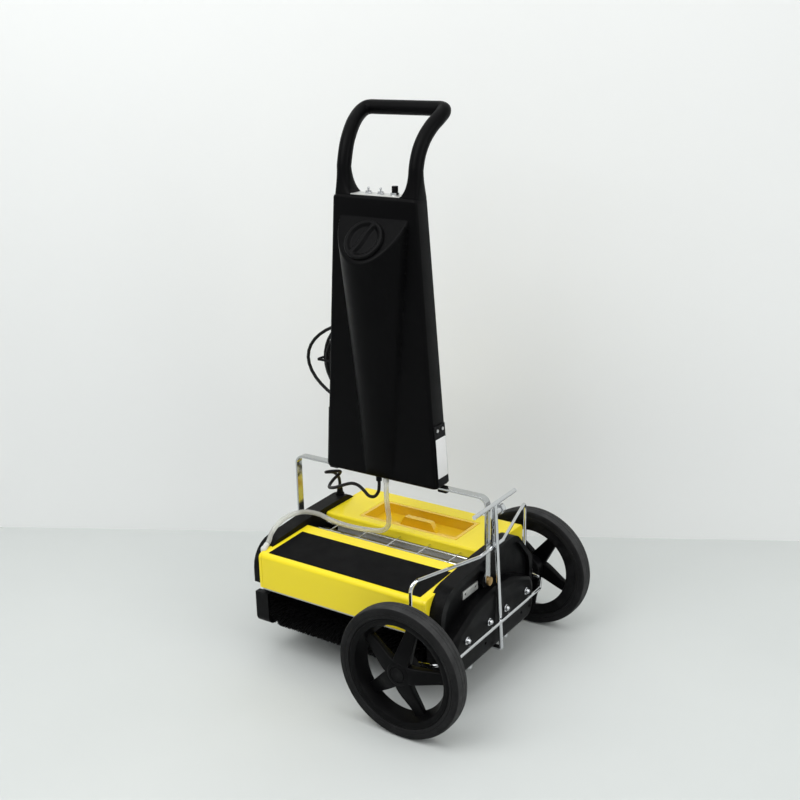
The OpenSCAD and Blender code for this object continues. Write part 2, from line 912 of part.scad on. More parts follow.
module cable_gland() {
    color("#141414") difference() {
        translate([-gland_x, gland_y, gland_z0]) {
            cylinder(h = gland_h / 3, r = gland_r);
            translate([0, 0, gland_h / 3]) cylinder(h = gland_h * 2 / 3, r1 = gland_r * 0.8, r2 = gland_tip_r);
        }
        along_x(-outer_x, -inner_x) housing_outline(0);
    }
}

module rest_feet() {
    color("#171717") for (y = foot_y) translate([-foot_x, y, 0]) {
        cylinder(h = housing_z, r = foot_r);
        cylinder(h = pad_h, r = pad_r);
    }
}

// Trolley
module trolley_frame() {
    reach = rod_at(mid_z).x - rod_r - wire_r;
    low_x = rod_at(low_z).x + rod_r + wire_r;
    color("silver") {
        bent_wire([[post_x, -post_y, low_z - wire_r], [post_x, -post_y, frame_top],
                   [reach, -mid_half, mid_z], [reach, mid_half, mid_z], [post_x, post_y, frame_top],
                   [post_x, post_y, low_z - wire_r]], wire_r);
        bent_wire([[post_x, -post_y, low_z], [knee.x, -knee.y, low_z], [low_x, -low_half, low_z],
                   [low_x, low_half, low_z], [knee.x, knee.y, low_z], [post_x, post_y, low_z]], wire_r);
    }
}

function rod_at(z) = rod_foot + (rod_top - rod_foot) * (z - rod_foot.z) / (rod_top.z - rod_foot.z);

module lifting_rod() {
    strip_x = rod_at(strip_z0 + strip_h).x - rod_r - strip_t / 2;
    color("silver") difference() {
        union() {
            link(rod_foot, rod_top, rod_r);
            rod_y(rod_top.y - t_bar_l / 2, rod_top.y + t_bar_l / 2, rod_top.x, t_bar_z, rod_r);
            translate([strip_x, rod_top.y - strip_w / 2, strip_z0]) cube([strip_t, strip_w, strip_h]);
            rod_y(rod_top.y, boss_y, rod_at(boss_z).x, boss_z, rod_r * 1.6);
            translate([rod_foot.x - hook_l, rod_foot.y - hook_w / 2, rod_foot.z - hook_t / 2])
                cube([hook_l, hook_w, hook_t]);
        }
        rod_y(rod_top.y - cut, boss_y + cut, rod_at(boss_z).x, boss_z, knob_screw_r + run);
        for (i = [0:strip_holes - 1])
            rod_x(strip_x - cut, strip_x + strip_t / 2 + rod_r, rod_top.y,
                  strip_z0 + strip_h * (i + 0.5) / (strip_holes + 1), strip_hole_r);
    }
}

module clamp_knob() {
    color("silver") translate([rod_at(boss_z).x, 0, boss_z]) {
        rod_y(rod_top.y, boss_y + gap + cut, 0, 0, knob_screw_r);
        rod_y(boss_y + gap, boss_y + gap + knob_l, 0, 0, knob_r - lobe_r / 2);
        for (i = [0:knob_lobes - 1])
            rotate([0, 360 * i / knob_lobes, 0])
                rod_y(boss_y + gap, boss_y + gap + knob_l * 0.8, knob_r - lobe_r, 0, lobe_r);
    }
}

module axle(side) {
    hub_end = track / 2 - hub_l + hub_out - gap;
    mirror([0, side < 0 ? 1 : 0, 0]) {
        rod_y(post_y, track / 2 + hub_out / 2, wheel_x, wheel_r, axle_r);
        rod_y(hub_end - collar_l, hub_end, wheel_x, wheel_r, collar_r);
    }
}

module stub_axles() {
    color("silver") difference() {
        for (side = [-1, 1]) axle(side);
        frame_cut();
    }
}

// Room for the frame's wires where an axle is welded to a post
module frame_cut() {
    for (side = [-1, 1]) {
        translate([post_x, side * post_y, low_z - wire_d]) cylinder(h = frame_top - low_z, r = wire_r + seat);
        link([post_x, side * post_y, low_z], [knee.x, side * knee.y, low_z], wire_r + seat);
    }
}

module wheel_at(side) {
    translate([wheel_x, side * track / 2, wheel_r]) rotate([-90 * side, 0, 0]) children();
}

// Turned wheel with windows cut between its spokes
module wheel(turn) {
    ring_r = wheel_r - tyre_t - seat;
    web_r = ring_r - rim_ring_t;
    low = spoke_out - spoke_t / 2;
    high = spoke_out + spoke_t / 2;
    color("#141414") difference() {
        rotate_extrude() polygon([
            [0, hub_out - hub_l], [hub_d / 2, hub_out - hub_l], [hub_d / 2, low], [web_r, low],
            [web_r, -rim_ring_w / 2], [ring_r, -rim_ring_w / 2], [ring_r, rim_ring_w / 2],
            [web_r, rim_ring_w / 2], [web_r, high], [hub_d / 2, high],
            [hub_d * 0.38, hub_out], [0, hub_out]]);
        for (i = [0:spoke_n - 1]) rotate(360 * (i + 0.5) / spoke_n + turn) spoke_window(web_r - web_lip, low);
        translate([0, 0, hub_out - hub_l - cut])
            cylinder(h = hub_l - hub_out / 2 + gap + cut, r = axle_r + run);
    }
}

// Opening between two spokes, from its point near the hub out to a radius
module spoke_window(reach, low) {
    half = 180 / spoke_n;
    far = 2 * reach;
    slope = (spoke_root_w - spoke_tip_w) / 2 / reach;
    near = spoke_root_w / 2 * cos(half) / (sin(half) + slope * cos(half));
    tip = near * cos(half) + (spoke_root_w / 2 - slope * near) * sin(half);
    edge = far * [cos(half), sin(half)] + (spoke_root_w / 2 - slope * far) * [sin(half), -cos(half)];
    translate([0, 0, low - cut]) intersection() {
        linear_extrude(spoke_t + 2 * cut) polygon(rounded(
            [[tip, 0], [edge.x, -edge.y], edge], [window_r, 0, 0]));
        rotate(180) cylinder(h = spoke_t + 2 * cut, r = reach);
    }
}

module tyre() {
    inner = wheel_r - tyre_t;
    color("#1d1d1d") rotate_extrude() polygon(rounded(
        [[inner, -tyre_w / 2], [wheel_r, -tyre_w / 2], [wheel_r, tyre_w / 2], [inner, tyre_w / 2]],
        [groove_w, tyre_edge_r, tyre_edge_r, groove_w]));
}

module front_wheel() {
    wheel_at(-1) wheel(spoke_turns[0]);
}

module front_tyre() {
    wheel_at(-1) tyre();
}

module rear_wheel() {
    wheel_at(1) wheel(spoke_turns[1]);
}

module rear_tyre() {
    wheel_at(1) tyre();
}

// Bail and handle
module bail() {
    inner = bail_half - bail_t;
    color("silver") difference() {
        union() {
            rotate([90, 0, 0]) linear_extrude(bail_w, center = true) polygon(rounded(
                [[-bail_half, pivot_z], [-inner, pivot_z], [-inner, bail_top - bail_t],
                 [inner, bail_top - bail_t], [inner, pivot_z], [bail_half, pivot_z],
                 [bail_half, bail_top], [-bail_half, bail_top]],
                [0, 0, bail_r - bail_t, bail_r - bail_t, 0, 0, bail_r, bail_r]));
            both_ends() rod_x(inner, bail_half, 0, pivot_z, bail_w / 2);
        }
        rod_x(-bail_half - cut, bail_half + cut, 0, pivot_z, pivot_r + run);
    }
}

module pivot_bolts() {
    color("#b9803a") both_ends() {
        rod_x(inner_x + housing_t / 4 + gap, bail_half + gap, 0, pivot_z, pivot_r);
        rod_x(bail_half + gap, bail_half + gap + head_t, 0, pivot_z, pivot_r * 1.7);
    }
}

module clamp_blocks() {
    color("#141414") both_ends() translate([block_x, 0, bail_top - bail_t - block_h / 2])
        cube([block_l, block_w, block_h], center = true);
}

function tank_half(z) = (tank_w + (tank_top_w - tank_w) * (z - tank_z) / tank_h) / 2;
function tank_back(z) = tank_front + tank_d + (tank_top_d - tank_d) * (z - tank_z) / tank_h;

module tank_slab(z, t) {
    d = tank_back(z) - tank_front;
    translate([0, tank_front + d / 2, z]) linear_extrude(t)
        polygon(rounded(box_corners(2 * tank_half(z), d), [for (i = [0:3]) tank_edge_r]));
}

module cone_slab(z, half, out) {
    translate([0, tank_front, tank_z + z]) linear_extrude(cut)
        scale([1, out / half]) circle(r = half, $fn = hull_fn);
}

module ledge_frame() {
    translate([0, tank_front, tank_z + ledge_z]) rotate([90 - ledge_angle, 0, 0]) children();
}

module handle_tank() {
    color("#141414") difference() {
        union() {
            hull() {
                tank_slab(tank_z, cut);
                tank_slab(tank_z + tank_h - cut, cut);
            }
            difference() {
                intersection() {
                    hull() {
                        cone_slab(cone_z0, cone_half0, cone_out0);
                        cone_slab(cone_z1, cone_half1, cone_out1);
                    }
                    translate([-tank_w / 2, tank_front - tank_w, tank_z])
                        cube([tank_w, tank_w + tank_edge_r, tank_h]);
                }
                ledge_frame() translate([-ledge_cut, -ledge_cut * 2 + tank_edge_r, 0]) cube(ledge_cut * 2);
            }
        }
    }
}

module cap_place() {
    ledge_l = norm([ledge_run, ledge_drop]);
    ledge_frame() translate([0, -ledge_l * cap_slide_share, 0]) children();
}

module filler_cap() {
    color("#121212") cap_place() translate([0, 0, gap]) {
        cylinder(h = cap_t - cap_lobe_t, r = cap_d / 2);
        translate([0, 0, cap_t - cap_lobe_t])
            cylinder(h = cap_lobe_t, r1 = cap_d / 2, r2 = cap_d / 2 - cap_lobe_t);
        translate([0, 0, cap_t]) for (s = [0, 180]) rotate(s) linear_extrude(cap_rib_h)
            intersection() {
                circle(r = cap_d / 2 - cap_lobe_t);
                difference() {
                    translate([-cap_rib_w, cap_d / 5]) circle(r = cap_d / 5 + cap_rib_w / 2);
                    translate([-cap_rib_w, cap_d / 5]) circle(r = cap_d / 5 - cap_rib_w / 2);
                    translate([-cap_d - cap_rib_w, -cap_d / 2]) square(cap_d);
                }
            }
    }
}

// Grip
function grip_half() = [
    for (s = grip_shares)
        [grip_foot_x + grip_spread * s.x, grip_foot_y + grip_reach * s.y, tank_top + grip_rise * s.z]
];

function mirrored(p) = [for (i = [len(p) - 1:-1:0]) [-p[i].x, p[i].y, p[i].z]];

module grip_loop() {
    half = grip_half();
    foot = [grip_foot_x, grip_foot_y, tank_top + seat];
    path = concat([foot], smooth(concat(half, mirrored(half)), 4), mirrored([foot]));
    n = len(path) - 1;
    radii = [
        for (i = [0:n])
            let (end = min(i, n - i))
                grip_d / 2 + (grip_foot_r - grip_d / 2) * pow(max(0, 1 - end / 6), 2)
    ];
    color("#131313") tube(path, radii, 14, [1, 0, 0]);
}

module control_plate() {
    z0 = tank_top;
    color("silver") difference() {
        translate([-plate_half, top_plate_y0, z0])
            cube([2 * plate_half, top_plate_y1 - top_plate_y0, top_plate_t]);
        for (x = bezel_x)
            translate([x, ctrl_y, z0 - cut]) cylinder(h = top_plate_t + 2 * cut, r = lever_hole_r);
    }
}

module switch_bezels() {
    z0 = tank_top + top_plate_t;
    color("silver") {
        for (x = bezel_x) translate([x, ctrl_y, z0]) difference() {
            union() {
                cylinder(h = bezel_t / 2, r = bezel_r, $fn = 6);
                cylinder(h = bezel_t, r = bezel_r * 0.75);
            }
            translate([0, 0, -cut]) cylinder(h = bezel_t + 2 * cut, r = lever_hole_r);
        }
        translate([button_x, ctrl_y, z0]) difference() {
            cylinder(h = collar_h, r = button_r + collar_t);
            translate([0, 0, collar_h / 4]) cylinder(h = collar_h, r = button_r + gap);
        }
    }
}

module switch_lever(x) {
    z0 = tank_top + top_plate_t + bezel_t / 2;
    color("silver") translate([x, ctrl_y, z0]) {
        rod_x(-lever_barrel_half, lever_barrel_half, 0, 0, lever_barrel_r);
        cylinder(h = lever_l, r1 = lever_r * 0.7, r2 = lever_r);
        translate([0, 0, lever_l]) sphere(r = lever_r);
    }
}

module left_switch() {
    switch_lever(bezel_x[0]);
}

module right_switch() {
    switch_lever(bezel_x[1]);
}

module push_button() {
    z0 = tank_top + top_plate_t + collar_h / 4 + button_travel + gap;
    color("#151515") translate([button_x, ctrl_y, z0]) {
        cylinder(h = button_h - cut, r = button_r);
        translate([0, 0, button_h - cut]) cylinder(h = cut, r1 = button_r, r2 = button_r - cut);
    }
}

// Plates at the foot of the tank's sides
module side_slab(z, out) {
    translate([tank_half(z) - cut + out, (tank_front + tank_back(z)) / 2 - side_w / 2, z])
        cube([cut, side_w, cut]);
}

module side_covers() {
    color("#1a1a1a") both_ends() hull() {
        side_slab(tank_z + side_z0, cut + seat);
        side_slab(tank_z + side_z0 + side_h, cut + seat);
        side_slab(tank_z + side_z0, side_t + seat);
        side_slab(tank_z + side_z0 + side_h, side_t + seat);
    }
}

module cover_screws() {
    z = tank_z + side_z0 + side_h - screw_r * 2.5;
    lean = atan((tank_w - tank_top_w) / 2 / tank_h);
    color("#303030") both_ends() for (s = [-1, 1])
        translate([tank_half(z) + side_t + 2 * seat, (tank_front + tank_back(z)) / 2 + s * side_w / 4, z])
            rotate([0, 90 - lean, 0]) cylinder(h = screw_t, r = screw_r);
}

module tank_outlet() {
    color("#d8d8d8") translate([outlet_x, outlet_y, tank_z - outlet_l]) cylinder(h = outlet_l, r = outlet_r);
}

module handle_gland() {
    color("#141414") translate([link_end_x, outlet_y, tank_z - outlet_l]) cylinder(h = outlet_l, r = outlet_r);
}

// Mains cord, wound in two layers and hung on a hook
function coil_total() = 2 * coil_in_turns + coil_climb_turns;
function coil_shrink(t) = coil_pitch * (t < coil_in_turns ? t
    : t < coil_in_turns + coil_climb_turns ? coil_in_turns : coil_total() - t);
function coil_step(t) = max(0, min(1, (t - coil_in_turns) / coil_climb_turns));
function coil_slack(t) = t < 1 ? coil_loose * pow(min(0, cos(360 * t)), 2) : 0;
function coil_point(t) = [
    coil_x + (coil_half_w - coil_shrink(t)) * cos(360 * t) - coil_slack(t),
    coil_y + coil_layer * coil_step(t),
    coil_z - (coil_half_h - coil_shrink(t)) * sin(360 * t)
];
coil_end_x = coil_x + coil_half_w;
coil_out_y = coil_y + coil_layer;
coil_path = concat(
    [[coil_end_x, coil_y, coil_z + coil_lead], [coil_end_x, coil_y, coil_z + coil_lead - cord_d],
     [coil_end_x, coil_y, coil_z + coil_lead / 2]],
    [for (i = [0:coil_total() * coil_rings]) coil_point(i / coil_rings)],
    [[coil_end_x, coil_out_y, coil_z - coil_tail / 2], [coil_end_x, coil_out_y, coil_z - coil_tail + cord_d],
     [coil_end_x, coil_out_y, coil_z - coil_tail]]
);

// Least distance between turns that lie beside or on each other
function coil_gap() = min([
    for (i = [0:coil_total() * coil_rings])
        for (j = [i + coil_rings / 2:coil_total() * coil_rings])
            norm(coil_point(i / coil_rings) - coil_point(j / coil_rings))
]) - cord_d;

module mains_cord() {
    echo(coil_gap = coil_gap());
    color("#161616") tube(coil_path, same(coil_path, cord_d / 2), coil_sides, [0, 1, 0]);
}

module cord_gland() {
    z0 = coil_z + coil_lead;
    back = tank_back(z0 + cord_gland_l);
    color("#161616") {
        translate([coil_end_x, coil_y, z0])
            cylinder(h = cord_gland_l, r1 = cord_gland_tip_r, r2 = cord_gland_r);
        translate([coil_end_x - cord_boss / 2, back + seat, z0 + cord_gland_l])
            cube([cord_boss, coil_y + cord_gland_r - back - seat, cord_boss]);
    }
}

module plug() {
    z1 = coil_z - coil_tail;
    color("#161616") translate([coil_end_x, coil_out_y, z1]) {
        translate([0, 0, -plug_nose_l]) cylinder(h = plug_nose_l, r1 = plug_nose_r * 1.3, r2 = cord_d * 0.7);
        translate([0, 0, -plug_l]) cylinder(h = plug_l - plug_nose_l, r1 = plug_r, r2 = plug_nose_r * 1.3);
        for (s = [-1, 1]) translate([s * pin_pitch / 2, 0, -plug_l - pin_l]) cylinder(h = pin_l, r = pin_r);
    }
}

module cord_tie() {
    x0 = coil_x - coil_half_w - cord_d / 2 - seat;
    w = coil_in_turns * coil_pitch + cord_d + 2 * seat;
    y0 = coil_y - cord_d / 2 - seat;
    d = coil_layer + cord_d + 2 * seat;
    color("#202020") translate([x0, y0, coil_z - tie_band_h / 2]) difference() {
        translate([-tie_band_t, -tie_band_t, 0]) cube([w + 2 * tie_band_t, d + 2 * tie_band_t, tie_band_h]);
        translate([0, 0, -cut]) cube([w, d, tie_band_h + 2 * cut]);
    }
}

module cord_hook() {
    z = coil_z + coil_half_h - coil_in_turns * coil_pitch - cord_d / 2 - hook_peg_r - gap;
    back = tank_back(z - hook_base / 2);
    color("#161616") translate([coil_x, back + seat, z]) {
        translate([-hook_base / 2, 0, -hook_base / 2]) cube([hook_base, hook_base_t, hook_base]);
        rod_y(0, hook_peg_l, 0, 0, hook_peg_r);
        translate([-hook_peg_r, hook_peg_l - hook_lip_t, 0]) cube([2 * hook_peg_r, hook_lip_t, hook_lip_h]);
    }
}

module water_hose() {
    path = smooth(hose_route, 2);
    color("#e6e6e0") tube(path, same(path, hose_d / 2), 10, [1, 0, 0]);
}

module link_cable() {
    path = smooth(link_route, 2);
    color("#161616") tube(path, same(path, link_d / 2), 8, [1, 0, 0]);
}

module placed() {
    translate([-origin_x, 0, 0]) children();
}

placed() left_housing();
placed() right_housing();
placed() gear_cover();
placed() front_cover();
placed() inset_panel();
placed() rear_hood();
placed() wire_guard();
placed() tie_rods();
placed() motor();
placed() gearbox();
placed() front_belt();
placed() rear_belt();
placed() shaft_bushes();
placed() recovery_tank();
placed() tank_lid();
placed() spray_bar();
placed() hose_fitting();
placed() cable_gland();
placed() rest_feet();
placed() end_feet();
placed() cover_nuts();
placed() catch_plate();
placed() trolley_frame();
placed() lifting_rod();
placed() clamp_knob();
placed() stub_axles();
placed() front_wheel();
placed() front_tyre();
placed() rear_wheel();
placed() rear_tyre();
placed() front_brush_shaft();
placed() front_bristles();
placed() rear_brush_shaft();
placed() rear_bristles();
placed() front_drive_pulley();
placed() rear_drive_pulley();
placed() pickup_drum();
placed() bail();
placed() pivot_bolts();
placed() clamp_blocks();
placed() handle_tank();
placed() grip_loop();
placed() filler_cap();
placed() control_plate();
placed() switch_bezels();
placed() left_switch();
placed() right_switch();
placed() push_button();
placed() side_covers();
placed() cover_screws();
placed() tank_outlet();
placed() handle_gland();
placed() cord_hook();
placed() cord_gland();
placed() mains_cord();
placed() plug();
placed() cord_tie();
placed() water_hose();
placed() link_cable();
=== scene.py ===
"""Looks of the escalator cleaner: finishes, cords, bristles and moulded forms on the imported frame."""

import json
import logging
import math
import random
from dataclasses import dataclass, field
from enum import Enum
from typing import Any, Dict, List, Optional, Sequence, Tuple

import bpy
from mathutils import Matrix, Vector

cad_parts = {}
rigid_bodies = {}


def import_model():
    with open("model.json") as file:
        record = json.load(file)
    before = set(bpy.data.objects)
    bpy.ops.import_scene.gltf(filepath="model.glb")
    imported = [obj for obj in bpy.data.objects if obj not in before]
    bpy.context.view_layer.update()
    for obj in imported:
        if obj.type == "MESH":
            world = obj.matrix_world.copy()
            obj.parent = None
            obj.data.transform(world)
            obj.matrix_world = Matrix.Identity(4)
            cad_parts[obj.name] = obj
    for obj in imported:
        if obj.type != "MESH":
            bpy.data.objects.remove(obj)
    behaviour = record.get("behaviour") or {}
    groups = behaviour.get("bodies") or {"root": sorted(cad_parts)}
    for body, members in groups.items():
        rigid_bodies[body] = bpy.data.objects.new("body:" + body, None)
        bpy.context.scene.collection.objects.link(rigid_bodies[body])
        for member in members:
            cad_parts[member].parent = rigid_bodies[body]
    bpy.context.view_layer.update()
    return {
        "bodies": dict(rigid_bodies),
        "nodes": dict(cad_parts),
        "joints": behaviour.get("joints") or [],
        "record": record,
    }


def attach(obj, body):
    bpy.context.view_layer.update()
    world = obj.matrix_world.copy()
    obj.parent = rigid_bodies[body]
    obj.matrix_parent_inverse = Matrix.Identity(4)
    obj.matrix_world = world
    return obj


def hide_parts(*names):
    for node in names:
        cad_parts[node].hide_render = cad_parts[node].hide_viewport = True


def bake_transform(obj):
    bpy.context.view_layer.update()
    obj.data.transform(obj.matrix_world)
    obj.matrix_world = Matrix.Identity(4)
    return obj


LOG = logging.getLogger("cleaner")
Rgb = Tuple[float, float, float]
Point = Tuple[float, float, float]
Pair = Tuple[float, float]
Path = List[Vector]
Form = Tuple[List[Vector], List[List[int]]]
Socket = bpy.types.NodeSocket
Inputs = Dict[Any, Any]

# Millimetres from the bail's middle to the middle of the model's box.
ORIGIN_X = 53.1
MM = Matrix.Scale(0.001, 4)
# Colour of sharp edges on dark parts: partly scuffs, partly a painted edge highlight.
EDGE_WEAR_SHEEN: Rgb = (0.03, 0.03, 0.031)
COAT_ROUGH = 0.12
GRAIN_HEIGHT = 0.0006


def at(x: float, y: float, z: float) -> Vector:
    """Point of the row frame in metres from millimetres measured off the bail's middle."""
    return Vector(((x - ORIGIN_X) / 1000, y / 1000, z / 1000))


class Grain(Enum):
    """Direction of a finish's fine grain, as a scale for each axis."""

    EVEN = (1.0, 1.0, 1.0)
    ALONG_X = (0.04, 1.0, 1.0)


@dataclass(frozen=True)
class Nodes:
    """Maker of shader nodes in one tree."""

    tree: bpy.types.NodeTree

    def feed(self, node: bpy.types.Node, inputs: Inputs) -> None:
        """Links or sets a node's inputs.

        Args:
            node: The node.
            inputs: Socket or value for each input, by its name or number.
        """
        for key, value in inputs.items():
            if isinstance(value, Socket):
                self.tree.links.new(value, node.inputs[key])
            else:
                node.inputs[key].default_value = value

    def add(self, kind: str, inputs: Optional[Inputs] = None, **options: str) -> bpy.types.Node:
        """Adds a node.

        Args:
            kind: Its type, without the common prefix.
            inputs: Socket or value for each input, by its name or number.
            options: Settings of the node itself.

        Returns:
            The node.
        """
        node = self.tree.nodes.new("ShaderNode" + kind)
        for name, value in options.items():
            setattr(node, name, value)
        self.feed(node, inputs or {})
        return node

    def noise(self, vector: Socket, scale: float, detail: float) -> Socket:
        """Noise over a vector, with a scale per metre and a number of octaves."""
        return self.add("TexNoise", {"Vector": vector, "Scale": scale, "Detail": detail}).outputs["Fac"]

    def mixed(self, factor: Socket, first: Any, second: Any) -> Socket:
        """Mix of two colours, each a socket or a value."""
        node = self.add("Mix", {"Factor": factor, "A": first, "B": second}, data_type="RGBA")
        return node.outputs["Result"]

    def span(self, value: Socket, low: float, high: float, to_low: float, to_high: float) -> Socket:
        """Clamped map of a value from one range to another."""
        limits = {"From Min": low, "From Max": high, "To Min": to_low, "To Max": to_high}
        return self.add("MapRange", {"Value": value, **limits}).outputs["Result"]


@dataclass(frozen=True)
class Finish:
    """One surface finish, made into one procedural material.

    Attributes:
        name: Material's name.
        slot: Slot of the record that the finish belongs to.
        colour: Main colour, linear.
        shade: Colour of its patches, linear.
        rough: Least and greatest roughness.
        patch: Patches per metre.
        grain: Grain marks per metre.
        depth: Strength of the grain's bump.
        along: Direction of the grain.
        metal: Share of metal.
        clear: Share of light let through.
        bend: Refractive index.
        coat: Weight of a clear coat.
        spec: Level of the gloss.
        edge_wear_and_sheen: Share of the edge colour on sharp edges: scuffs and a painted edge highlight.
        edge_wear_sheen_colour: Colour of those edges, linear: scuffed plastic with a painted highlight.
    """

    name: str
    slot: str
    colour: Rgb
    shade: Rgb
    rough: Pair = (0.35, 0.5)
    patch: float = 7.0
    grain: float = 900.0
    depth: float = 0.08
    along: Grain = Grain.EVEN
    metal: float = 0.0
    clear: float = 0.0
    bend: float = 1.5
    coat: float = 0.0
    spec: float = 0.5
    edge_wear_and_sheen: float = 0.0
    edge_wear_sheen_colour: Rgb = EDGE_WEAR_SHEEN

    def material(self) -> bpy.types.Material:
        """Material of this finish, made once.

        Returns:
            The material with its nodes.
        """
        found = bpy.data.materials.get(self.name)
        if found:
            return found
        mat = bpy.data.materials.new(self.name)
        mat.use_nodes = True
        nodes = Nodes(mat.node_tree)
        spot = nodes.add("TexCoord").outputs["Object"]
        patches = nodes.span(nodes.noise(spot, self.patch, 3.0), 0.3, 0.75, 0.0, 1.0)
        tone = nodes.mixed(patches, (*self.colour, 1), (*self.shade, 1))
        # Lighter sharp edges: scuffs plus a painted edge highlight.
        if self.edge_wear_and_sheen:
            tone = nodes.mixed(self.wear_and_sheen_share(nodes, spot), tone, (*self.edge_wear_sheen_colour, 1))
        smears = nodes.noise(spot, self.patch * 4.3, 6.0)
        stretch = nodes.add("Mapping", {"Vector": spot, "Scale": self.along.value})
        grain = nodes.noise(stretch.outputs["Vector"], self.grain, 2.0)
        bump = nodes.add("Bump", {"Strength": self.depth, "Distance": GRAIN_HEIGHT, "Height": grain})
        nodes.feed(mat.node_tree.nodes["Principled BSDF"], {
            "Base Color": tone, "Roughness": nodes.span(smears, 0.3, 0.7, *self.rough),
            "Normal": bump.outputs["Normal"], "Metallic": self.metal, "Transmission Weight": self.clear,
            "IOR": self.bend, "Coat Weight": self.coat, "Coat Roughness": COAT_ROUGH,
            "Specular IOR Level": self.spec})
        return mat

    def wear_and_sheen_share(self, nodes: Nodes, spot: Socket) -> Socket:
        """Share of the edge colour along sharp edges: scuffs plus a painted edge highlight.

        Args:
            nodes: Maker for the material's tree.
            spot: Socket with the place.

        Returns:
            Socket with the share.
        """
        # Pointiness finds sharp edges. Their lighter colour paints a highlight there as well as scuffs.
        sharp = nodes.add("NewGeometry").outputs["Pointiness"]
        edge = nodes.span(sharp, 0.52, 0.6, 0.0, self.edge_wear_and_sheen)
        patchy_wear_sheen = nodes.span(nodes.noise(spot, 55.0, 4.0), 0.4, 0.65, 0.25, 1.0)
        return nodes.add("Math", {0: edge, 1: patchy_wear_sheen}, operation="MULTIPLY").outputs["Value"]


@dataclass(frozen=True)
class Finishes:
    """Every finish of the machine and of the studio."""

    black: Finish = Finish("black_moulding", "moulding", (0.0022, 0.0022, 0.0025), (0.0034, 0.0034, 0.0037),
                           (0.36, 0.48), grain=1400, depth=0.14, spec=0.07, edge_wear_and_sheen=0.5)
    tank: Finish = Finish("tank_moulding", "moulding", (0.0016, 0.0016, 0.0019), (0.0026, 0.0026, 0.0029),
                          (0.34, 0.44), grain=1100, depth=0.18, spec=0.055, edge_wear_and_sheen=0.4)
    yellow: Finish = Finish("yellow_moulding", "yellow", (0.88, 0.71, 0.018), (0.86, 0.69, 0.016),
                            (0.28, 0.36), patch=3.0, grain=420, depth=0.03, coat=0.1, spec=0.3)
    panel: Finish = Finish("matt_panel", "panel", (0.0030, 0.0030, 0.0033), (0.0044, 0.0044, 0.0048),
                           (0.62, 0.74), grain=1500, depth=0.4, spec=0.07)
    chrome: Finish = Finish("bright_plate", "chrome", (0.66, 0.67, 0.68), (0.58, 0.59, 0.61), (0.03, 0.08),
                            grain=300, depth=0.02, metal=1.0)
    dull: Finish = Finish("dull_plate", "chrome", (0.52, 0.53, 0.53), (0.45, 0.46, 0.46), (0.10, 0.2),
                          grain=300, depth=0.03, metal=1.0)
    steel: Finish = Finish("bare_steel", "steel", (0.58, 0.58, 0.58), (0.48, 0.48, 0.49), (0.24, 0.4),
                           grain=700, depth=0.2, along=Grain.ALONG_X, metal=1.0)
    zinc: Finish = Finish("zinc_plate", "steel", (0.74, 0.74, 0.72), (0.66, 0.66, 0.64), (0.42, 0.55),
                          grain=700, depth=0.12, metal=1.0)
    alloy: Finish = Finish("cast_alloy", "alloy", (0.42, 0.43, 0.44), (0.34, 0.35, 0.36), (0.4, 0.55),
                           grain=600, depth=0.3, metal=1.0)
    bronze: Finish = Finish("turned_bronze", "bronze", (0.55, 0.36, 0.14), (0.45, 0.28, 0.10), (0.3, 0.45),
                            grain=800, depth=0.1, metal=1.0)
    amber: Finish = Finish("amber_lid", "amber", (0.95, 0.62, 0.022), (0.93, 0.58, 0.018), (0.10, 0.18),
                           patch=4.0, grain=300, depth=0.04, clear=0.16, coat=0.2)
    tray: Finish = Finish("natural_plastic", "tray", (0.66, 0.66, 0.63), (0.56, 0.56, 0.53), (0.35, 0.5),
                          grain=700, depth=0.1)
    rubber: Finish = Finish("black_rubber", "rubber", (0.006, 0.006, 0.006), (0.010, 0.010, 0.010),
                            (0.6, 0.8), grain=900, depth=0.25, spec=0.15)
    tyre: Finish = Finish("tyre_rubber", "tyre", (0.0065, 0.0065, 0.0068), (0.014, 0.014, 0.0145),
                          (0.55, 0.8), patch=22.0, grain=1300, depth=0.3, spec=0.12, edge_wear_and_sheen=0.6,
                          edge_wear_sheen_colour=(0.05, 0.05, 0.05))
    tread: Finish = Finish("worn_tread", "tyre", (0.022, 0.022, 0.0225), (0.044, 0.044, 0.044), (0.7, 0.9),
                           patch=26.0, grain=1300, depth=0.4, spec=0.2, edge_wear_and_sheen=0.5, edge_wear_sheen_colour=(0.09, 0.09, 0.09))
    wheel: Finish = Finish("wheel_moulding", "wheel", (0.0018, 0.0018, 0.0021), (0.0030, 0.0030, 0.0033),
                           (0.3, 0.42), grain=900, depth=0.1, spec=0.06, edge_wear_and_sheen=0.5)
    bristle: Finish = Finish("nylon_bristle", "bristle", (0.002, 0.002, 0.0022), (0.0045, 0.0045, 0.0048),
                             (0.45, 0.6), patch=30.0, grain=2000, depth=0.1, spec=0.08)
    hose: Finish = Finish("milky_hose", "clear_hose", (0.86, 0.86, 0.81), (0.80, 0.80, 0.75), (0.08, 0.18),
                          grain=400, depth=0.05, clear=0.66, bend=1.14, coat=0.3)
    cord: Finish = Finish("cord_sheath", "cord", (0.0035, 0.0035, 0.0036), (0.0065, 0.0065, 0.0066),
                          (0.38, 0.5), grain=1200, depth=0.15, spec=0.18)
    plate: Finish = Finish("bare_plate", "tray", (0.80, 0.80, 0.79), (0.74, 0.74, 0.73), (0.35, 0.5),
                           grain=900, depth=0.04)
    floor: Finish = Finish("studio_floor", "tray", (0.585, 0.605, 0.592), (0.56, 0.582, 0.57), (0.55, 0.7),
                           patch=1.5, grain=60, depth=0.02, spec=0.25)
    wall: Finish = Finish("studio_wall", "tray", (0.87, 0.88, 0.87), (0.85, 0.86, 0.85), (0.7, 0.8),
                          patch=1.0, grain=60, depth=0.02, spec=0.2)


FINISH = Finishes()


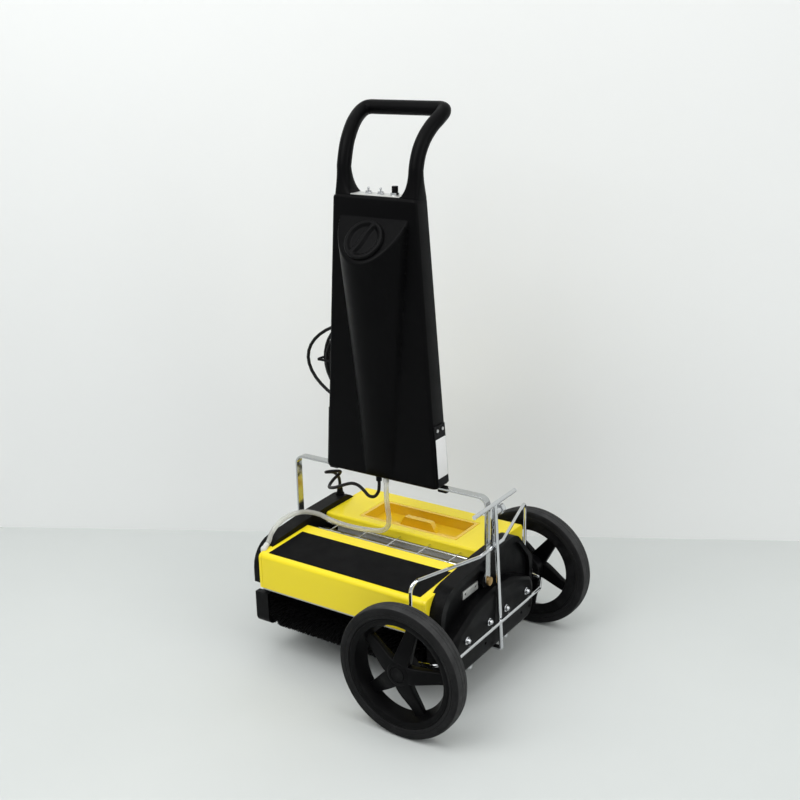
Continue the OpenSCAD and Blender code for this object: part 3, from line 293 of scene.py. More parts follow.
class Shape:
    """Mesh makers shared by the sub-assemblies."""

    @staticmethod
    def mesh(name: str, points: Sequence[Vector], faces: Sequence[Sequence[int]]) -> bpy.types.Object:
        """New smooth mesh object.

        Args:
            name: Object's name.
            points: Vertices in the row frame.
            faces: Vertex numbers of each face.

        Returns:
            The linked object.
        """
        data = bpy.data.meshes.new(name)
        data.from_pydata([tuple(p) for p in points], [], [tuple(f) for f in faces])
        data.validate()
        data.update()
        data.shade_smooth()
        data.set_sharp_from_angle(angle=math.radians(38))
        obj = bpy.data.objects.new(name, data)
        bpy.context.scene.collection.objects.link(obj)
        return obj

    @staticmethod
    def loft(rings: Sequence[Sequence[Vector]], looped: bool = False) -> Form:
        """Skin over closed rings of equal length.

        Args:
            rings: Rings in order.
            looped: Whether the last ring joins the first, in place of two end caps.

        Returns:
            Points and faces.
        """
        count = len(rings[0])
        points = [p for ring in rings for p in ring]
        faces = []
        for i in range(len(rings) - (0 if looped else 1)):
            after = (i + 1) % len(rings)
            for j in range(count):
                k = (j + 1) % count
                faces.append([i * count + j, i * count + k, after * count + k, after * count + j])
        if not looped:
            faces.append(list(range(count))[::-1])
            faces.append([(len(rings) - 1) * count + j for j in range(count)])
        return points, faces

    @staticmethod
    def smooth_path(points: Sequence[Vector], steps: int) -> Path:
        """Catmull-Rom curve through points.

        Args:
            points: Route points.
            steps: Pieces between two points.

        Returns:
            The finer path.
        """
        last = len(points) - 1
        path = []
        for i in range(last):
            a, b, c, d = points[max(i - 1, 0)], points[i], points[i + 1], points[min(i + 2, last)]
            for j in range(steps):
                t = j / steps
                path.append(0.5 * (2 * b + (c - a) * t + (2 * a - 5 * b + 4 * c - d) * t * t
                                   + (3 * b - a - 3 * c + d) * t ** 3))
        path.append(points[last].copy())
        return path

    @staticmethod
    def rings(path: Path, radii: Sequence[float], sides: int,
              start: Point = (0.31, 0.93, 0.2)) -> List[List[Vector]]:
        """Rings across a path, with no twist.

        Args:
            path: Centreline.
            radii: Radius at each point.
            sides: Sides of a ring.
            start: Rough direction of the first ring's first point.

        Returns:
            One ring for each point.
        """
        last = len(path) - 1
        normal = Vector(start)
        rings = []
        for i, p in enumerate(path):
            along = (path[min(i + 1, last)] - path[max(i - 1, 0)]).normalized()
            normal = (normal - along * normal.dot(along)).normalized()
            side = along.cross(normal)
            rings.append([p + radii[i] * (math.cos(a) * normal + math.sin(a) * side)
                          for a in Shape.turns(sides)])
        return rings

    @staticmethod
    def turns(sides: int) -> List[float]:
        """Angles of a ring's points, in radians."""
        return [2 * math.pi * j / sides for j in range(sides)]

    @staticmethod
    def lathe(profile: Sequence[Pair], sides: int, place: Matrix, looped: bool = False) -> Form:
        """Turned form from (radius, height) pairs.

        Args:
            profile: Radius and height of each ring.
            sides: Sides of a ring.
            place: Matrix to the row frame.
            looped: Whether the profile is closed round a bore, in place of two end caps.

        Returns:
            Points and faces.
        """
        rings = [[place @ Vector((r * math.cos(a), r * math.sin(a), h)) for a in Shape.turns(sides)]
                 for r, h in profile]
        return Shape.loft(rings, looped)

    @staticmethod
    def slab(wide: float, tall: float, thick: float, corner: float, place: Matrix) -> Form:
        """Thin plate with round corners and soft edges, lying on its place.

        Args:
            wide: Size along the place's X, in millimetres.
            tall: Size along its Y.
            thick: Size along its Z.
            corner: Corner radius.
            place: Matrix to the row frame.

        Returns:
            Points and faces.
        """
        rings = []
        soft = thick * 0.35
        for inset, h in ((0.0, 0.0), (0.0, thick - soft), (soft * 0.3, thick - soft * 0.3), (soft, thick)):
            ring = []
            for sx, sy, turn in ((1, 1, 0), (-1, 1, 90), (-1, -1, 180), (1, -1, 270)):
                for k in range(7):
                    a = math.radians(turn + 15 * k)
                    x = sx * (wide / 2 - corner) + (corner - inset) * math.cos(a)
                    y = sy * (tall / 2 - corner) + (corner - inset) * math.sin(a)
                    ring.append(place @ Vector((x, y, h)))
            rings.append(ring)
        return Shape.loft(rings)

    @staticmethod
    def merged(parts: Sequence[Form]) -> Form:
        """Several forms as one list of points and faces.

        Args:
            parts: Points and faces of each form.

        Returns:
            All points and faces.
        """
        points: List[Vector] = []
        faces: List[List[int]] = []
        for pts, fcs in parts:
            base = len(points)
            points.extend(pts)
            faces.extend([[i + base for i in f] for f in fcs])
        return points, faces

    @staticmethod
    def ease(share: float) -> float:
        """Share eased in and out between 0 and 1."""
        held = min(1.0, max(0.0, share))
        return held * held * (3 - 2 * held)


def dress(obj: bpy.types.Object, finish: Finish) -> bpy.types.Object:
    """Gives an object one finish.

    Args:
        obj: Mesh object.
        finish: Its finish.

    Returns:
        The same object.
    """
    obj.data.materials.clear()
    obj.data.materials.append(finish.material())
    return obj


def report(obj: bpy.types.Object) -> None:
    """Logs a finished piece."""
    LOG.info("piece %s: %d faces", obj.name, len(obj.data.polygons))


def settle(obj: bpy.types.Object, finish: Finish, body: str, node: Optional[str] = None) -> None:
    """Dresses a new piece, puts it on its body and logs it.

    Args:
        obj: Mesh object.
        finish: Its finish.
        body: CAD body that it moves with.
        node: CAD node that it stands for, if any.
    """
    dress(obj, finish)
    if node:
        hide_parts(node)
    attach(obj, body)
    report(obj)


@dataclass
class SolidDresser:
    """Finishes and soft edges for the CAD solids that stay in view.

    Attributes:
        frame: The loaded frame.
        edges: Width of each solid's rounded edges in metres.
        plain_edge: Width for the solids that edges doesn't name.
    """

    frame: Dict[str, Any]
    edges: Dict[str, float] = field(default_factory=lambda: {
        "front_cover": 0.0016, "rear_hood": 0.0016, "left_housing": 0.0022, "right_housing": 0.0022,
        "tank_lid": 0.0012, "side_covers": 0.0008, "bail": 0.0007, "catch_plate": 0.0004,
        "control_plate": 0.0004, "inset_panel": 0.0005, "cover_nuts": 0.0006, "lifting_rod": 0.0006,
        "cord_gland": 0.0015})
    plain_edge: float = 0.0003

    def dress_all(self) -> None:
        """Dresses every CAD solid from its slot in the record."""
        by_slot: Dict[str, Finish] = {
            "moulding": FINISH.black, "yellow": FINISH.yellow, "panel": FINISH.panel,
            "chrome": FINISH.chrome, "steel": FINISH.steel, "alloy": FINISH.alloy, "bronze": FINISH.bronze,
            "amber": FINISH.amber, "tray": FINISH.tray, "rubber": FINISH.rubber, "tyre": FINISH.tyre,
            "wheel": FINISH.wheel, "bristle": FINISH.bristle, "clear_hose": FINISH.hose,
            "cord": FINISH.cord}
        own: Dict[str, Finish] = {
            "catch_plate": FINISH.zinc, "control_plate": FINISH.zinc, "bail": FINISH.dull}
        slots = {s["node"]: s["material_slot"] for s in self.frame["record"]["subparts"]}
        for name, obj in self.frame["nodes"].items():
            finish = own.get(name, by_slot[slots[name]])
            obj.data.materials.clear()
            obj.data.materials.append(finish.material())
            self.soften(obj, self.edges.get(name, self.plain_edge))
            LOG.info("solid %s: %s", name, finish.name)

    @staticmethod
    def soften(obj: bpy.types.Object, width: float) -> None:
        """Rounds a solid's edges with modifiers.

        Args:
            obj: CAD object.
            width: Width of the rounding in metres.
        """
        if "custom_normal" in obj.data.attributes:
            obj.data.attributes.remove(obj.data.attributes["custom_normal"])
        obj.data.shade_smooth()
        weld = obj.modifiers.new("weld", "WELD")
        weld.merge_threshold = 0.00002
        bevel = obj.modifiers.new("edge", "BEVEL")
        bevel.width = width
        bevel.segments = 2
        bevel.limit_method = "ANGLE"
        bevel.angle_limit = math.radians(32)
        bevel.use_clamp_overlap = True
        normals = obj.modifiers.new("normals", "WEIGHTED_NORMAL")
        normals.keep_sharp = True


@dataclass
class WaterTank:
    """Black handle tank: a tall tapered moulding with a half-cone swell and a slanted filler ledge.

    Attributes:
        swell_half: Half width of the swell at its foot, and how much it grows.
        swell_out: How far the swell stands out at its foot, and how much it grows.
        fine_from: Height from which the rings lie close together.
        fine_to: Height up to which they do.
    """

    foot: float = 452.3
    height: float = 652.0
    half_foot: float = 154.0
    half_top: float = 109.0
    front: float = -34.0
    depth_foot: float = 59.0
    depth_top: float = 50.0
    edge: float = 8.0
    swell_low: float = 460.3
    swell_run: float = 600.0
    swell_half: Pair = (37.0, 49.0)
    swell_spread: float = 1.04
    swell_out: Pair = (5.0, 76.0)
    swell_bow: float = 0.62
    swell_start: float = 454.0
    swell_fade: float = 16.0
    ledge_top: float = 1058.3
    ledge_out: float = 67.0
    ledge_drop: float = 85.0
    ledge_soft: float = 5.0
    fine_from: float = 940.0
    fine_to: float = 1064.0

    def swell(self, x: float, z: float) -> float:
        """How far the front stands out of its plane.

        Args:
            x: Place across, in millimetres.
            z: Height in millimetres.

        Returns:
            Millimetres forward of the front plane.
        """
        t = min(max((z - self.swell_low) / self.swell_run, 0.0), 1.0)
        half = (self.swell_half[0] + self.swell_half[1] * t) * self.swell_spread
        fade = min(1.0, max(0.0, (z - self.swell_start) / self.swell_fade))
        out = (self.swell_out[0] + self.swell_out[1] * t) * fade
        u = abs(x) / half
        cone = out * (1 - u * u) ** self.swell_bow if u < 1 else 0.0
        ledge = max(0.0, (self.ledge_top - z) * self.ledge_out / self.ledge_drop)
        h = max(0.0, self.ledge_soft - abs(cone - ledge)) / self.ledge_soft
        return max(0.0, min(cone, ledge) - h * h * self.ledge_soft / 4)

    def corner(self, x: float, y: float, angles: Sequence[int]) -> List[Pair]:
        """Points round one upright edge.

        Args:
            x: Middle of the rounding across.
            y: Middle of the rounding in depth.
            angles: Directions in degrees.

        Returns:
            Points as (x, y).
        """
        r = self.edge
        return [(x + r * math.cos(math.radians(a)), y + r * math.sin(math.radians(a))) for a in angles]

    def ring(self, z: float) -> List[Vector]:
        """Outline of the tank at a height.

        Args:
            z: Height in millimetres.

        Returns:
            Points round the outline.
        """
        t = (z - self.foot) / self.height
        near = min(z - self.foot, self.foot + self.height - z)
        r = self.edge
        inset = 0.0
        if near < r:
            inset = r - math.sqrt(max(0.0, r * r - (r - near) ** 2))
        half = self.half_foot + (self.half_top - self.half_foot) * t - inset
        back = self.front + self.depth_foot + (self.depth_top - self.depth_foot) * t - inset
        front = self.front + inset
        points = []
        for i in range(97):
            x = (half - r) * (2 * i / 96 - 1)
            points.append((x, front - self.swell(x, z) * (1 - inset / r)))
        points.extend(self.corner(half - r, front + r, range(-80, 1, 10)))
        points.extend(self.corner(half - r, back - r, range(10, 91, 10)))
        points.extend(((half - r) * (1 - 2 * i / 24), back) for i in range(1, 24))
        points.extend(self.corner(-half + r, back - r, range(90, 171, 10)))
        points.extend(self.corner(-half + r, front + r, range(180, 261, 10)))
        return [at(x, y, z) for x, y in points]

    def levels(self) -> List[float]:
        """Heights of the tank's rings, closer together where the form turns.

        Returns:
            Heights in millimetres, from the foot up.
        """
        top = self.foot + self.height
        start, end = self.foot + self.edge, top - self.edge
        low = [self.foot + d for d in (0.0, 0.7, 2.0, 4.0, 6.0, self.edge)]
        mid = [start + (self.fine_from - start) * i / 60 for i in range(1, 61)]
        fine = [self.fine_from + (self.fine_to - self.fine_from) * i / 62 for i in range(1, 63)]
        rest = [self.fine_to + (end - self.fine_to) * i / 8 for i in range(1, 9)]
        high = [top - d for d in (6.0, 4.0, 2.0, 0.7, 0.0)]
        return low + mid + fine + rest + high

    def build(self) -> None:
        """Makes the tank's moulding in place of its solid."""
        obj = Shape.mesh("tank_shell", *Shape.loft([self.ring(z) for z in self.levels()]))
        settle(obj, FINISH.tank, "handle", "handle_tank")


@dataclass
class FillerCap:
    """Round screw cap on the slanted ledge: a rim and two finger bowls with a bowed rib between them.

    Attributes:
        along: Place of the cap's middle down the ledge, as a share.
        rim: Rings of the rim, as shares of radius and height.
        rib_lean: Slope of the rib across the face.
        rib_bow: How far the rib bows to either side.
        rib_wave: Length that sets how often it bows.
    """

    tank: WaterTank = field(default_factory=WaterTank)
    radius: float = 47.0
    height: float = 9.0
    lift: float = 0.4
    along: float = 0.52
    rim: Tuple[Pair, ...] = (
        (0.72, 0.0), (0.985, 0.0), (1.0, 0.06), (1.0, 0.55), (0.994, 0.75), (0.975, 0.9), (0.95, 0.97),
        (0.92, 1.0), (0.885, 1.0))
    bowl: float = 6.8
    bowl_radius: float = 41.0
    bowl_edge: float = 9.0
    rib_half: float = 1.5
    rib_swell: float = 1.9
    rib_side: float = 8.0
    rib_square: float = 0.9
    rib_lean: float = 0.45
    rib_bow: float = 2.4
    rib_wave: float = 11.5
    rib_shift: float = 4.0
    sides: int = 144
    bowl_rings: int = 44

    def place(self) -> Matrix:
        """Matrix from the cap's own millimetres to the row frame.

        Returns:
            The matrix, with Z out of the ledge.
        """
        out, drop = self.tank.ledge_out, self.tank.ledge_drop
        turn = Matrix.Rotation(math.pi / 2 - math.atan(out / drop), 4, "X")
        shift = turn @ Vector((0, -math.hypot(out, drop) * self.along, self.lift))
        seat = at(0, self.tank.front, self.tank.ledge_top) + shift / 1000
        return Matrix.Translation(seat) @ turn @ MM

    def face(self, x: float, y: float) -> float:
        """Height of the cap's face at a place.

        Args:
            x: Millimetres across the ledge.
            y: Millimetres up the ledge.

        Returns:
            Millimetres over the ledge.
        """
        edge = Shape.ease((self.bowl_radius - math.hypot(x, y)) / self.bowl_edge)
        spine = self.rib_lean * y - self.rib_bow * math.sin(y / self.rib_wave) - self.rib_shift
        half = self.rib_half * (self.rib_swell - (y / self.bowl_radius) ** 2)
        sink = Shape.ease((abs(x - spine) * self.rib_square - half) / self.rib_side)
        return self.height - edge * self.bowl * sink

    def build(self) -> None:
        """Makes the cap in place of its solid."""
        place = self.place()
        turns = Shape.turns(self.sides)
        rings = []
        for share, h in self.rim:
            r = self.radius * share
            rings.append([place @ Vector((r * math.cos(a), r * math.sin(a), self.height * h)) for a in turns])
        for i in range(self.bowl_rings, 0, -1):
            r = self.bowl_radius * i / self.bowl_rings
            spots = [(r * math.cos(a), r * math.sin(a)) for a in turns]
            rings.append([place @ Vector((x, y, self.face(x, y))) for x, y in spots])
        settle(Shape.mesh("cap_shell", *Shape.loft(rings)), FINISH.black, "cap", "filler_cap")


@dataclass
class Grip:
    """Bent tube grip whose legs widen into the tank's shoulders.

    Attributes:
        shares: Path of one leg and half the bar, as shares of spread, reach and rise.
        root: Height over the tank's top at which the widened foot ends.
        root_heights: Heights of the foot's rings.
        root_inner: How far the foot widens inward, evenly and close to the tank.
        root_square: How square the foot's outline gets.
    """

    foot_x: float = 91.0
    spread: float = 16.0
    foot_y: float = -11.5
    reach: float = 110.5
    foot_z: float = 1104.3
    rise: float = 177.0
    radius: float = 16.2
    sides: int = 32
    shares: Tuple[Point, ...] = (
        (0, 0, 0.025), (0.19, 0.01, 0.145), (0.19, 0.023, 0.258), (0.19, 0.059, 0.371),
        (0.23, 0.113, 0.484), (0.33, 0.195, 0.597), (0.48, 0.323, 0.71), (0.72, 0.511, 0.823),
        (0.94, 0.72, 0.908), (0.86, 0.9, 0.97), (0.22, 0.985, 0.998), (-1.66, 1, 1))
    root: float = 56.0
    root_heights: Tuple[float, ...] = (-14, -6, 0, 2, 4, 7, 11, 16, 22, 29, 37, 46)
    root_tuck: float = 1.6
    root_inner: Pair = (4.0, 12.0)
    root_front: float = 6.0
    root_back: float = 8.0
    root_square: float = 3.5
    side_slope: float = 0.069

    def centreline(self) -> Path:
        """Path of the tube from the right leg over the bar to the left leg.

        Returns:
            Points in millimetres.
        """
        half = [Vector((self.foot_x + self.spread * s, self.foot_y + self.reach * r,
                        self.foot_z + self.rise * h)) for s, r, h in self.shares]
        return Shape.smooth_path(half + [Vector((-p.x, p.y, p.z)) for p in reversed(half)], 10)

    def root_ring(self, height: float, above: Vector) -> List[Vector]:
        """Outline of the right leg's foot, between the tank's shoulder and the tube.

        Args:
            height: Millimetres over the tank's top.
            above: Middle of the first ring of the tube.

        Returns:
            Points of the outline, in millimetres.
        """
        left = 1 - max(0.0, height) / self.root
        outer = above.x + self.radius - self.root_tuck * left - self.side_slope * min(0.0, height)
        inner = above.x - self.radius - self.root_inner[0] * left - self.root_inner[1] * left ** 4
        front = above.y - self.radius - self.root_front * left ** 2
        back = above.y + self.radius + self.root_back * left ** 2
        power = 2 / (2 + self.root_square * left ** 2)
        ring = []
        for a in Shape.turns(self.sides):
            c, d = math.cos(a), math.sin(a)
            x = (outer + inner) / 2 + (outer - inner) / 2 * math.copysign(abs(c) ** power, c)
            y = (front + back) / 2 + (back - front) / 2 * math.copysign(abs(d) ** power, d)
            ring.append(Vector((x, y, self.foot_z + height)))
        return ring

    def build(self) -> None:
        """Makes the grip in place of its solid."""
        path = [p for p in self.centreline() if p.z >= self.foot_z + self.root]
        right = [self.root_ring(h, path[0]) for h in self.root_heights]
        left = [[Vector((-p.x, p.y, p.z)) for p in ring] for ring in reversed(right)]
        middle = Shape.rings(path, [self.radius] * len(path), self.sides, (1, 0, 0))
        rings = [[at(*p) for p in ring] for ring in right + middle + left]
        settle(Shape.mesh("grip_shell", *Shape.loft(rings)), FINISH.tank, "handle", "grip_loop")


@dataclass
class Tyre:
    """Solid tyre with a rim bead, flat sidewalls and a grooved, scuffed tread.

    Attributes:
        wall: Half width at the sidewalls.
        tread_from: Radius outside which the faces belong to the tread.
    """

    name: str
    node: str
    body: str
    y: float
    x: float = 230.0
    radius: float = 152.5
    bore: float = 126.6
    wall: float = 19.7
    tread_from: float = 149.5
    sides: int = 160

    def build(self) -> None:
        """Makes the tyre in place of its solid."""
        bead, wall, full = self.bore, self.wall, self.radius
        side = [(bead, 16.5), (bead + 0.6, 18.6), (bead + 2.2, wall), (bead + 7.0, wall),
                (bead + 7.8, 18.8), (bead + 9.2, 18.8), (bead + 10.0, wall), (144.6, wall), (147.6, 19.1),
                (149.6, 17.6), (150.9, 15.2), (151.7, 12.2), (152.3, 8.8), (full, 5.8), (151.5, 5.2),
                (151.5, 4.3), (full, 3.7)]
        profile = side + [(r, -h) for r, h in reversed(side)]
        middle = at(self.x, self.y, self.radius)
        place = Matrix.Translation(middle) @ Matrix.Rotation(math.pi / 2, 4, "X") @ MM
        obj = Shape.mesh(self.name, *Shape.lathe(profile, self.sides, place, looped=True))
        settle(obj, FINISH.tyre, self.body, self.node)
        obj.data.materials.append(FINISH.tread.material())
        for face in obj.data.polygons:
            out = face.center - middle
            face.material_index = int(math.hypot(out.x, out.z) > self.tread_from / 1000)


@dataclass
class Wheel:
    """Moulded wheel: a deep rim, a proud hub and five spokes that rise to it from the rim's floor.

    Attributes:
        outward: Side of the machine that the wheel faces, as a sign along Y.
        turn: Direction of the first spoke in degrees.
        stations: Radii of a spoke's rings.
        spoke_fall: How far a spoke's face drops from hub to rim.
        spoke_thin: How much thinner it gets on the way.
    """

    name: str
    node: str
    body: str
    y: float
    outward: int
    turn: float
    x: float = 230.0
    z: float = 152.5
    hub_half: float = 31.0
    hub_front: float = 20.0
    hub_back: float = -26.0
    bore: float = 8.2
    bore_end: float = 10.4
    rim_in: float = 111.0
    rim_out: float = 126.4
    rim_floor: float = 100.0
    spokes: int = 5
    stations: Tuple[float, ...] = (14, 24, 32, 42, 54, 66, 78, 90, 100, 106, 110, 113)
    spoke_front: float = 17.5
    spoke_fall: float = 19.5
    spoke_thick: float = 19.5
    spoke_thin: float = 6.5
    spoke_half: float = 21.5
    spoke_taper: float = 8.0
    spoke_flare: float = 6.0
    spoke_soft: float = 4.0
    fall_from: float = 26.0
    fall_run: float = 82.0
    flare_from: float = 96.0
    flare_run: float = 17.0
    taper_run: float = 86.0

    def place(self) -> Matrix:
        """Matrix from the wheel's own millimetres, Z outward, to the row frame."""
        lay = Matrix.Rotation(-self.outward * math.pi / 2, 4, "X")
        return Matrix.Translation(at(self.x, self.y, self.z)) @ lay @ MM

    def spoke(self, angle: float, place: Matrix) -> Form:
        """One spoke, from inside the hub to inside the rim.

        Args:
            angle: Direction in degrees.
            place: Matrix to the row frame.

        Returns:
            Points and faces.
        """
        turn = place @ Matrix.Rotation(math.radians(angle), 4, "Z")
        soft = self.spoke_soft
        rings = []
        for r in self.stations:
            share = Shape.ease((r - self.fall_from) / self.fall_run)
            front = self.spoke_front - self.spoke_fall * share
            back = front - self.spoke_thick + self.spoke_thin * share
            flare = self.spoke_flare * max(0.0, (r - self.flare_from) / self.flare_run) ** 2
            narrow = min(1.0, max(0.0, (r - self.stations[0]) / self.taper_run))
            half = self.spoke_half - self.spoke_taper * narrow + flare
            corners = ((1, front - soft, 0), (-1, front - soft, 90), (-1, back + soft, 180),
                       (1, back + soft, 270))
            ring = []
            for side, z, start in corners:
                for k in range(5):
                    a = math.radians(start + 22.5 * k)
                    y = side * (half - soft) + soft * math.cos(a)
                    ring.append(turn @ Vector((r, y, z + soft * math.sin(a))))
            rings.append(ring)
        return Shape.loft(rings)

    def build(self) -> None:
        """Makes the wheel in place of its solid."""
        place = self.place()
        out, lip, floor = self.rim_out, self.rim_in, self.rim_floor
        rim = [(out, -17.0), (out, 17.0), (out - 1.2, 18.0), (out - 5, 18.2), (lip + 5, 17.6),
               (lip + 1.6, 16.2), (lip, 13.0), (floor + 1, -12.0), (floor, -15.0), (floor + 1.5, -17.5),
               (out - 2, -18.0)]
        half, face, back = self.hub_half, self.hub_front, self.hub_back
        hub = [(self.bore, back), (half - 1.5, back), (half, back + 1.5), (half, 9.0), (half - 0.8, 13.0),
               (half - 3.2, 16.8), (half - 6.5, 19.2), (half - 10, face), (18.6, face), (18.0, face - 1.2),
               (16.8, face - 1.2), (16.2, face - 0.2), (self.bore, face - 0.2), (0.2, face - 0.2),
               (0.2, self.bore_end), (self.bore, self.bore_end)]
        forms = [Shape.lathe(rim, 128, place, looped=True), Shape.lathe(hub, 64, place, looped=True)]
        forms.extend(self.spoke(360 / self.spokes * i + self.turn, place) for i in range(self.spokes))
        settle(Shape.mesh(self.name, *Shape.merged(forms)), FINISH.wheel, self.body, self.node)


@dataclass
class ClampPads:
    """Rounded pads under the bail that clamp it to the tank."""

    x: float = 153.0
    top: float = 446.9
    size: Point = (25.0, 18.6, 7.0)
    corner: float = 4.0

    def build(self) -> None:
        """Makes both pads in place of the plain blocks."""
        forms = []
        for side in (-1, 1):
            place = Matrix.Translation(at(side * self.x, 0, self.top)) @ Matrix.Rotation(math.pi, 4, "X") @ MM
            forms.append(Shape.slab(*self.size, self.corner, place))
        settle(Shape.mesh("clamp_pads", *Shape.merged(forms)), FINISH.black, "handle", "clamp_blocks")


@dataclass
class Trim:
    """Bare plate low on the tank's side and the edge strip under the front cover."""

    tank: WaterTank = field(default_factory=WaterTank)
    plate: Point = (41.0, 92.0, 0.7)
    plate_low: float = 479.0
    plate_y: float = -5.0
    plate_out: float = 2.65
    plate_corner: float = 1.5
    strip: Point = (448.0, 3.4, 2.4)
    strip_z: float = 186.25
    strip_y: float = -208.6
    strip_corner: float = 0.4

    def build(self) -> None:
        """Makes both pieces."""
        taper = (self.tank.half_foot - self.tank.half_top) / self.tank.height
        middle = self.plate_low + self.plate[1] / 2
        out = self.tank.half_foot - taper * (middle - self.tank.foot) + self.plate_out
        lean = Matrix.Rotation(-math.atan(taper), 4, "Y")
        stand = Matrix(((0, 0, 1), (1, 0, 0), (0, 1, 0))).to_4x4()
        place = Matrix.Translation(at(out, self.plate_y, middle)) @ lean @ stand @ MM
        plate = Shape.mesh("side_plate", *Shape.slab(*self.plate, self.plate_corner, place))
        settle(plate, FINISH.plate, "handle")
        face = Matrix(((1, 0, 0), (0, 0, -1), (0, 1, 0))).to_4x4()
        place = Matrix.Translation(at(0, self.strip_y + self.strip[2], self.strip_z)) @ face @ MM
        strip = Shape.mesh("cover_strip", *Shape.slab(*self.strip, self.strip_corner, place))
        settle(strip, FINISH.tray, "chassis")


@dataclass
class CoverEnds:
    """Ends of the yellow covers, moulded round the shoulders of the end housings.

    Attributes:
        front_round: Middle of the front cover's rounded edge, as (y, z).
        front_shoulder: Middle of the housing's front shoulder, as (y, z), and its radius.
        hood_round: Middle of the hood's rounded edge, as (y, z).
        hood_shoulder: Middle of the housing's rear shoulder, as (y, z), and its radius.
    """

    inner: float = 224.6
    outer: float = 232.5
    hood_outer: float = 231.0
    gap: float = 0.8
    low: float = 188.0
    round_radius: float = 12.0
    front_face: float = -209.0
    front_flat: float = -193.0
    front_round: Pair = (-197.0, 263.3)
    front_shoulder: Point = (-129.25, 224.3, 63.75)
    hood_start: Pair = (166.0, 288.0)
    hood_back: float = 240.0
    hood_flat: float = 232.0
    hood_round: Pair = (228.0, 276.0)
    hood_shoulder: Point = (177.0, 193.3, 55.0)

    @staticmethod
    def arc(middle: Pair, radius: float, start: float, step: float, count: int) -> List[Pair]:
        """Points on an arc.

        Args:
            middle: Middle of the arc.
            radius: Its radius.
            start: Direction of the first point in degrees.
            step: Degrees from one point to the next.
            count: Number of points.

        Returns:
            Points as (y, z).
        """
        angles = [math.radians(start + step * k) for k in range(count)]
        return [(middle[0] + radius * math.cos(a), middle[1] + radius * math.sin(a)) for a in angles]

    def front_outline(self) -> List[Pair]:
        """Outline between the front cover's face and the housing's round shoulder.

        Returns:
            Points as (y, z).
        """
        y, z, radius = self.front_shoulder
        points = [(self.front_face, self.low)]
        points.extend(self.arc(self.front_round, self.round_radius, 180, -15, 7))
        points.extend(self.arc((y, z), radius + self.gap, 125.2, 5.48, 11))
        points.append((self.front_flat - self.gap, self.low))
        return points

    def hood_outline(self) -> List[Pair]:
        """Outline between the hood's back edge and the housing's sloped shoulder.

        Returns:
            Points as (y, z).
        """
        y, z, radius = self.hood_shoulder
        points = [self.hood_start]
        points.extend(self.arc(self.hood_round, self.round_radius, 90, -15, 7))
        points.extend([(self.hood_back, self.low), (self.hood_flat + self.gap, self.low)])
        points.extend(self.arc((y, z), radius + self.gap, 0, 43 / 6, 7))
        return points

    def build(self) -> None:
        """Makes all four ends as one piece."""
        forms = []
        for outline, out in ((self.front_outline(), self.outer), (self.hood_outline(), self.hood_outer)):
            my = sum(y for y, _ in outline) / len(outline)
            mz = sum(z for _, z in outline) / len(outline)
            for side in (-1, 1):
                rings = []
                for x, shrink in ((self.inner, 1.0), (out - 1.2, 1.0), (out - 0.3, 0.985), (out, 0.96)):
                    rings.append([at(side * x, my + (y - my) * shrink, mz + (z - mz) * shrink)
                                  for y, z in (outline if side > 0 else reversed(outline))])
                forms.append(Shape.loft(rings))
        settle(Shape.mesh("cover_ends", *Shape.merged(forms)), FINISH.yellow, "chassis")


@dataclass
class Brush:
    """Dense bristles of one brush in place of its plain tufts.

    Attributes:
        rows: Rows of bristles along the shaft.
        around: Bristles in a row.
        root_half: Half width of a bristle at its root.
        tip_half: Half width at its tip.
        root_stray: How far a root may lie off its place, in radians.
        tip_share: Least and greatest share of the reach.
        tip_stray: How far a tip may lean along the shaft.
        tip_turn: How far it may lean round the shaft, in radians.
    """

    name: str
    node: str
    body: str
    y: float
    z: float = 130.0
    length: float = 434.0
    core: float = 33.0
    reach: float = 73.0
    rows: int = 86
    around: int = 84
    margin: float = 4.0
    root_half: float = 1.5
    tip_half: float = 1.0
    root_stray: float = 0.03
    tip_share: Pair = (0.955, 0.997)
    tip_stray: float = 5.0
    tip_turn: float = 0.04

    def build(self) -> None:
        """Makes the bristle pack."""
        rng = random.Random(self.name)
        half = self.length / 2
        lay = Matrix.Translation(at(-half, self.y, self.z)) @ Matrix.Rotation(math.pi / 2, 4, "Y") @ MM
        sleeve = Shape.lathe([(0.1, 0), (self.core, 0), (self.core + 1, 1), (self.core + 1, self.length - 1),
                              (self.core, self.length), (0.1, self.length)], 48, lay)
        points, faces = [list(part) for part in sleeve]
        for row in range(self.rows):
            x0 = -half + self.margin + (self.length - 2 * self.margin) * row / (self.rows - 1)
            for step in range(self.around):
                a = 2 * math.pi * (step + 0.5 * (row % 2)) / self.around
                a += rng.uniform(-self.root_stray, self.root_stray)
                tip = self.reach * rng.uniform(*self.tip_share)
                x1 = max(-half, min(half, x0 + rng.uniform(-self.tip_stray, self.tip_stray)))
                da = rng.uniform(-self.tip_turn, self.tip_turn)
                self.strand(points, faces, (x0, a), (x1, a + da), tip)
        settle(Shape.mesh(self.name, points, faces), FINISH.bristle, self.body, self.node)

    def strand(self, points: List[Vector], faces: List[List[int]], root: Pair, end: Pair, tip: float) -> None:
        """Adds one three-sided strand.

        Args:
            points: Points to add to.
            faces: Faces to add to.
            root: Place along the shaft and angle of the root.
            end: Place along the shaft and angle of the tip.
            tip: Radius of the tip.
        """
        base = len(points)
        for (x, a), r, w in ((root, self.core - 1, self.root_half), (end, tip, self.tip_half)):
            for dx, da in ((-w, -w), (w, -w), (0, w * 1.2)):
                angle = a + da / r
                points.append(at(x + dx, self.y + r * math.cos(angle), self.z + r * math.sin(angle)))
        faces.extend([[base, base + 1, base + 4, base + 3], [base + 1, base + 2, base + 5, base + 4],
                      [base + 2, base, base + 3, base + 5], [base + 3, base + 4, base + 5]])


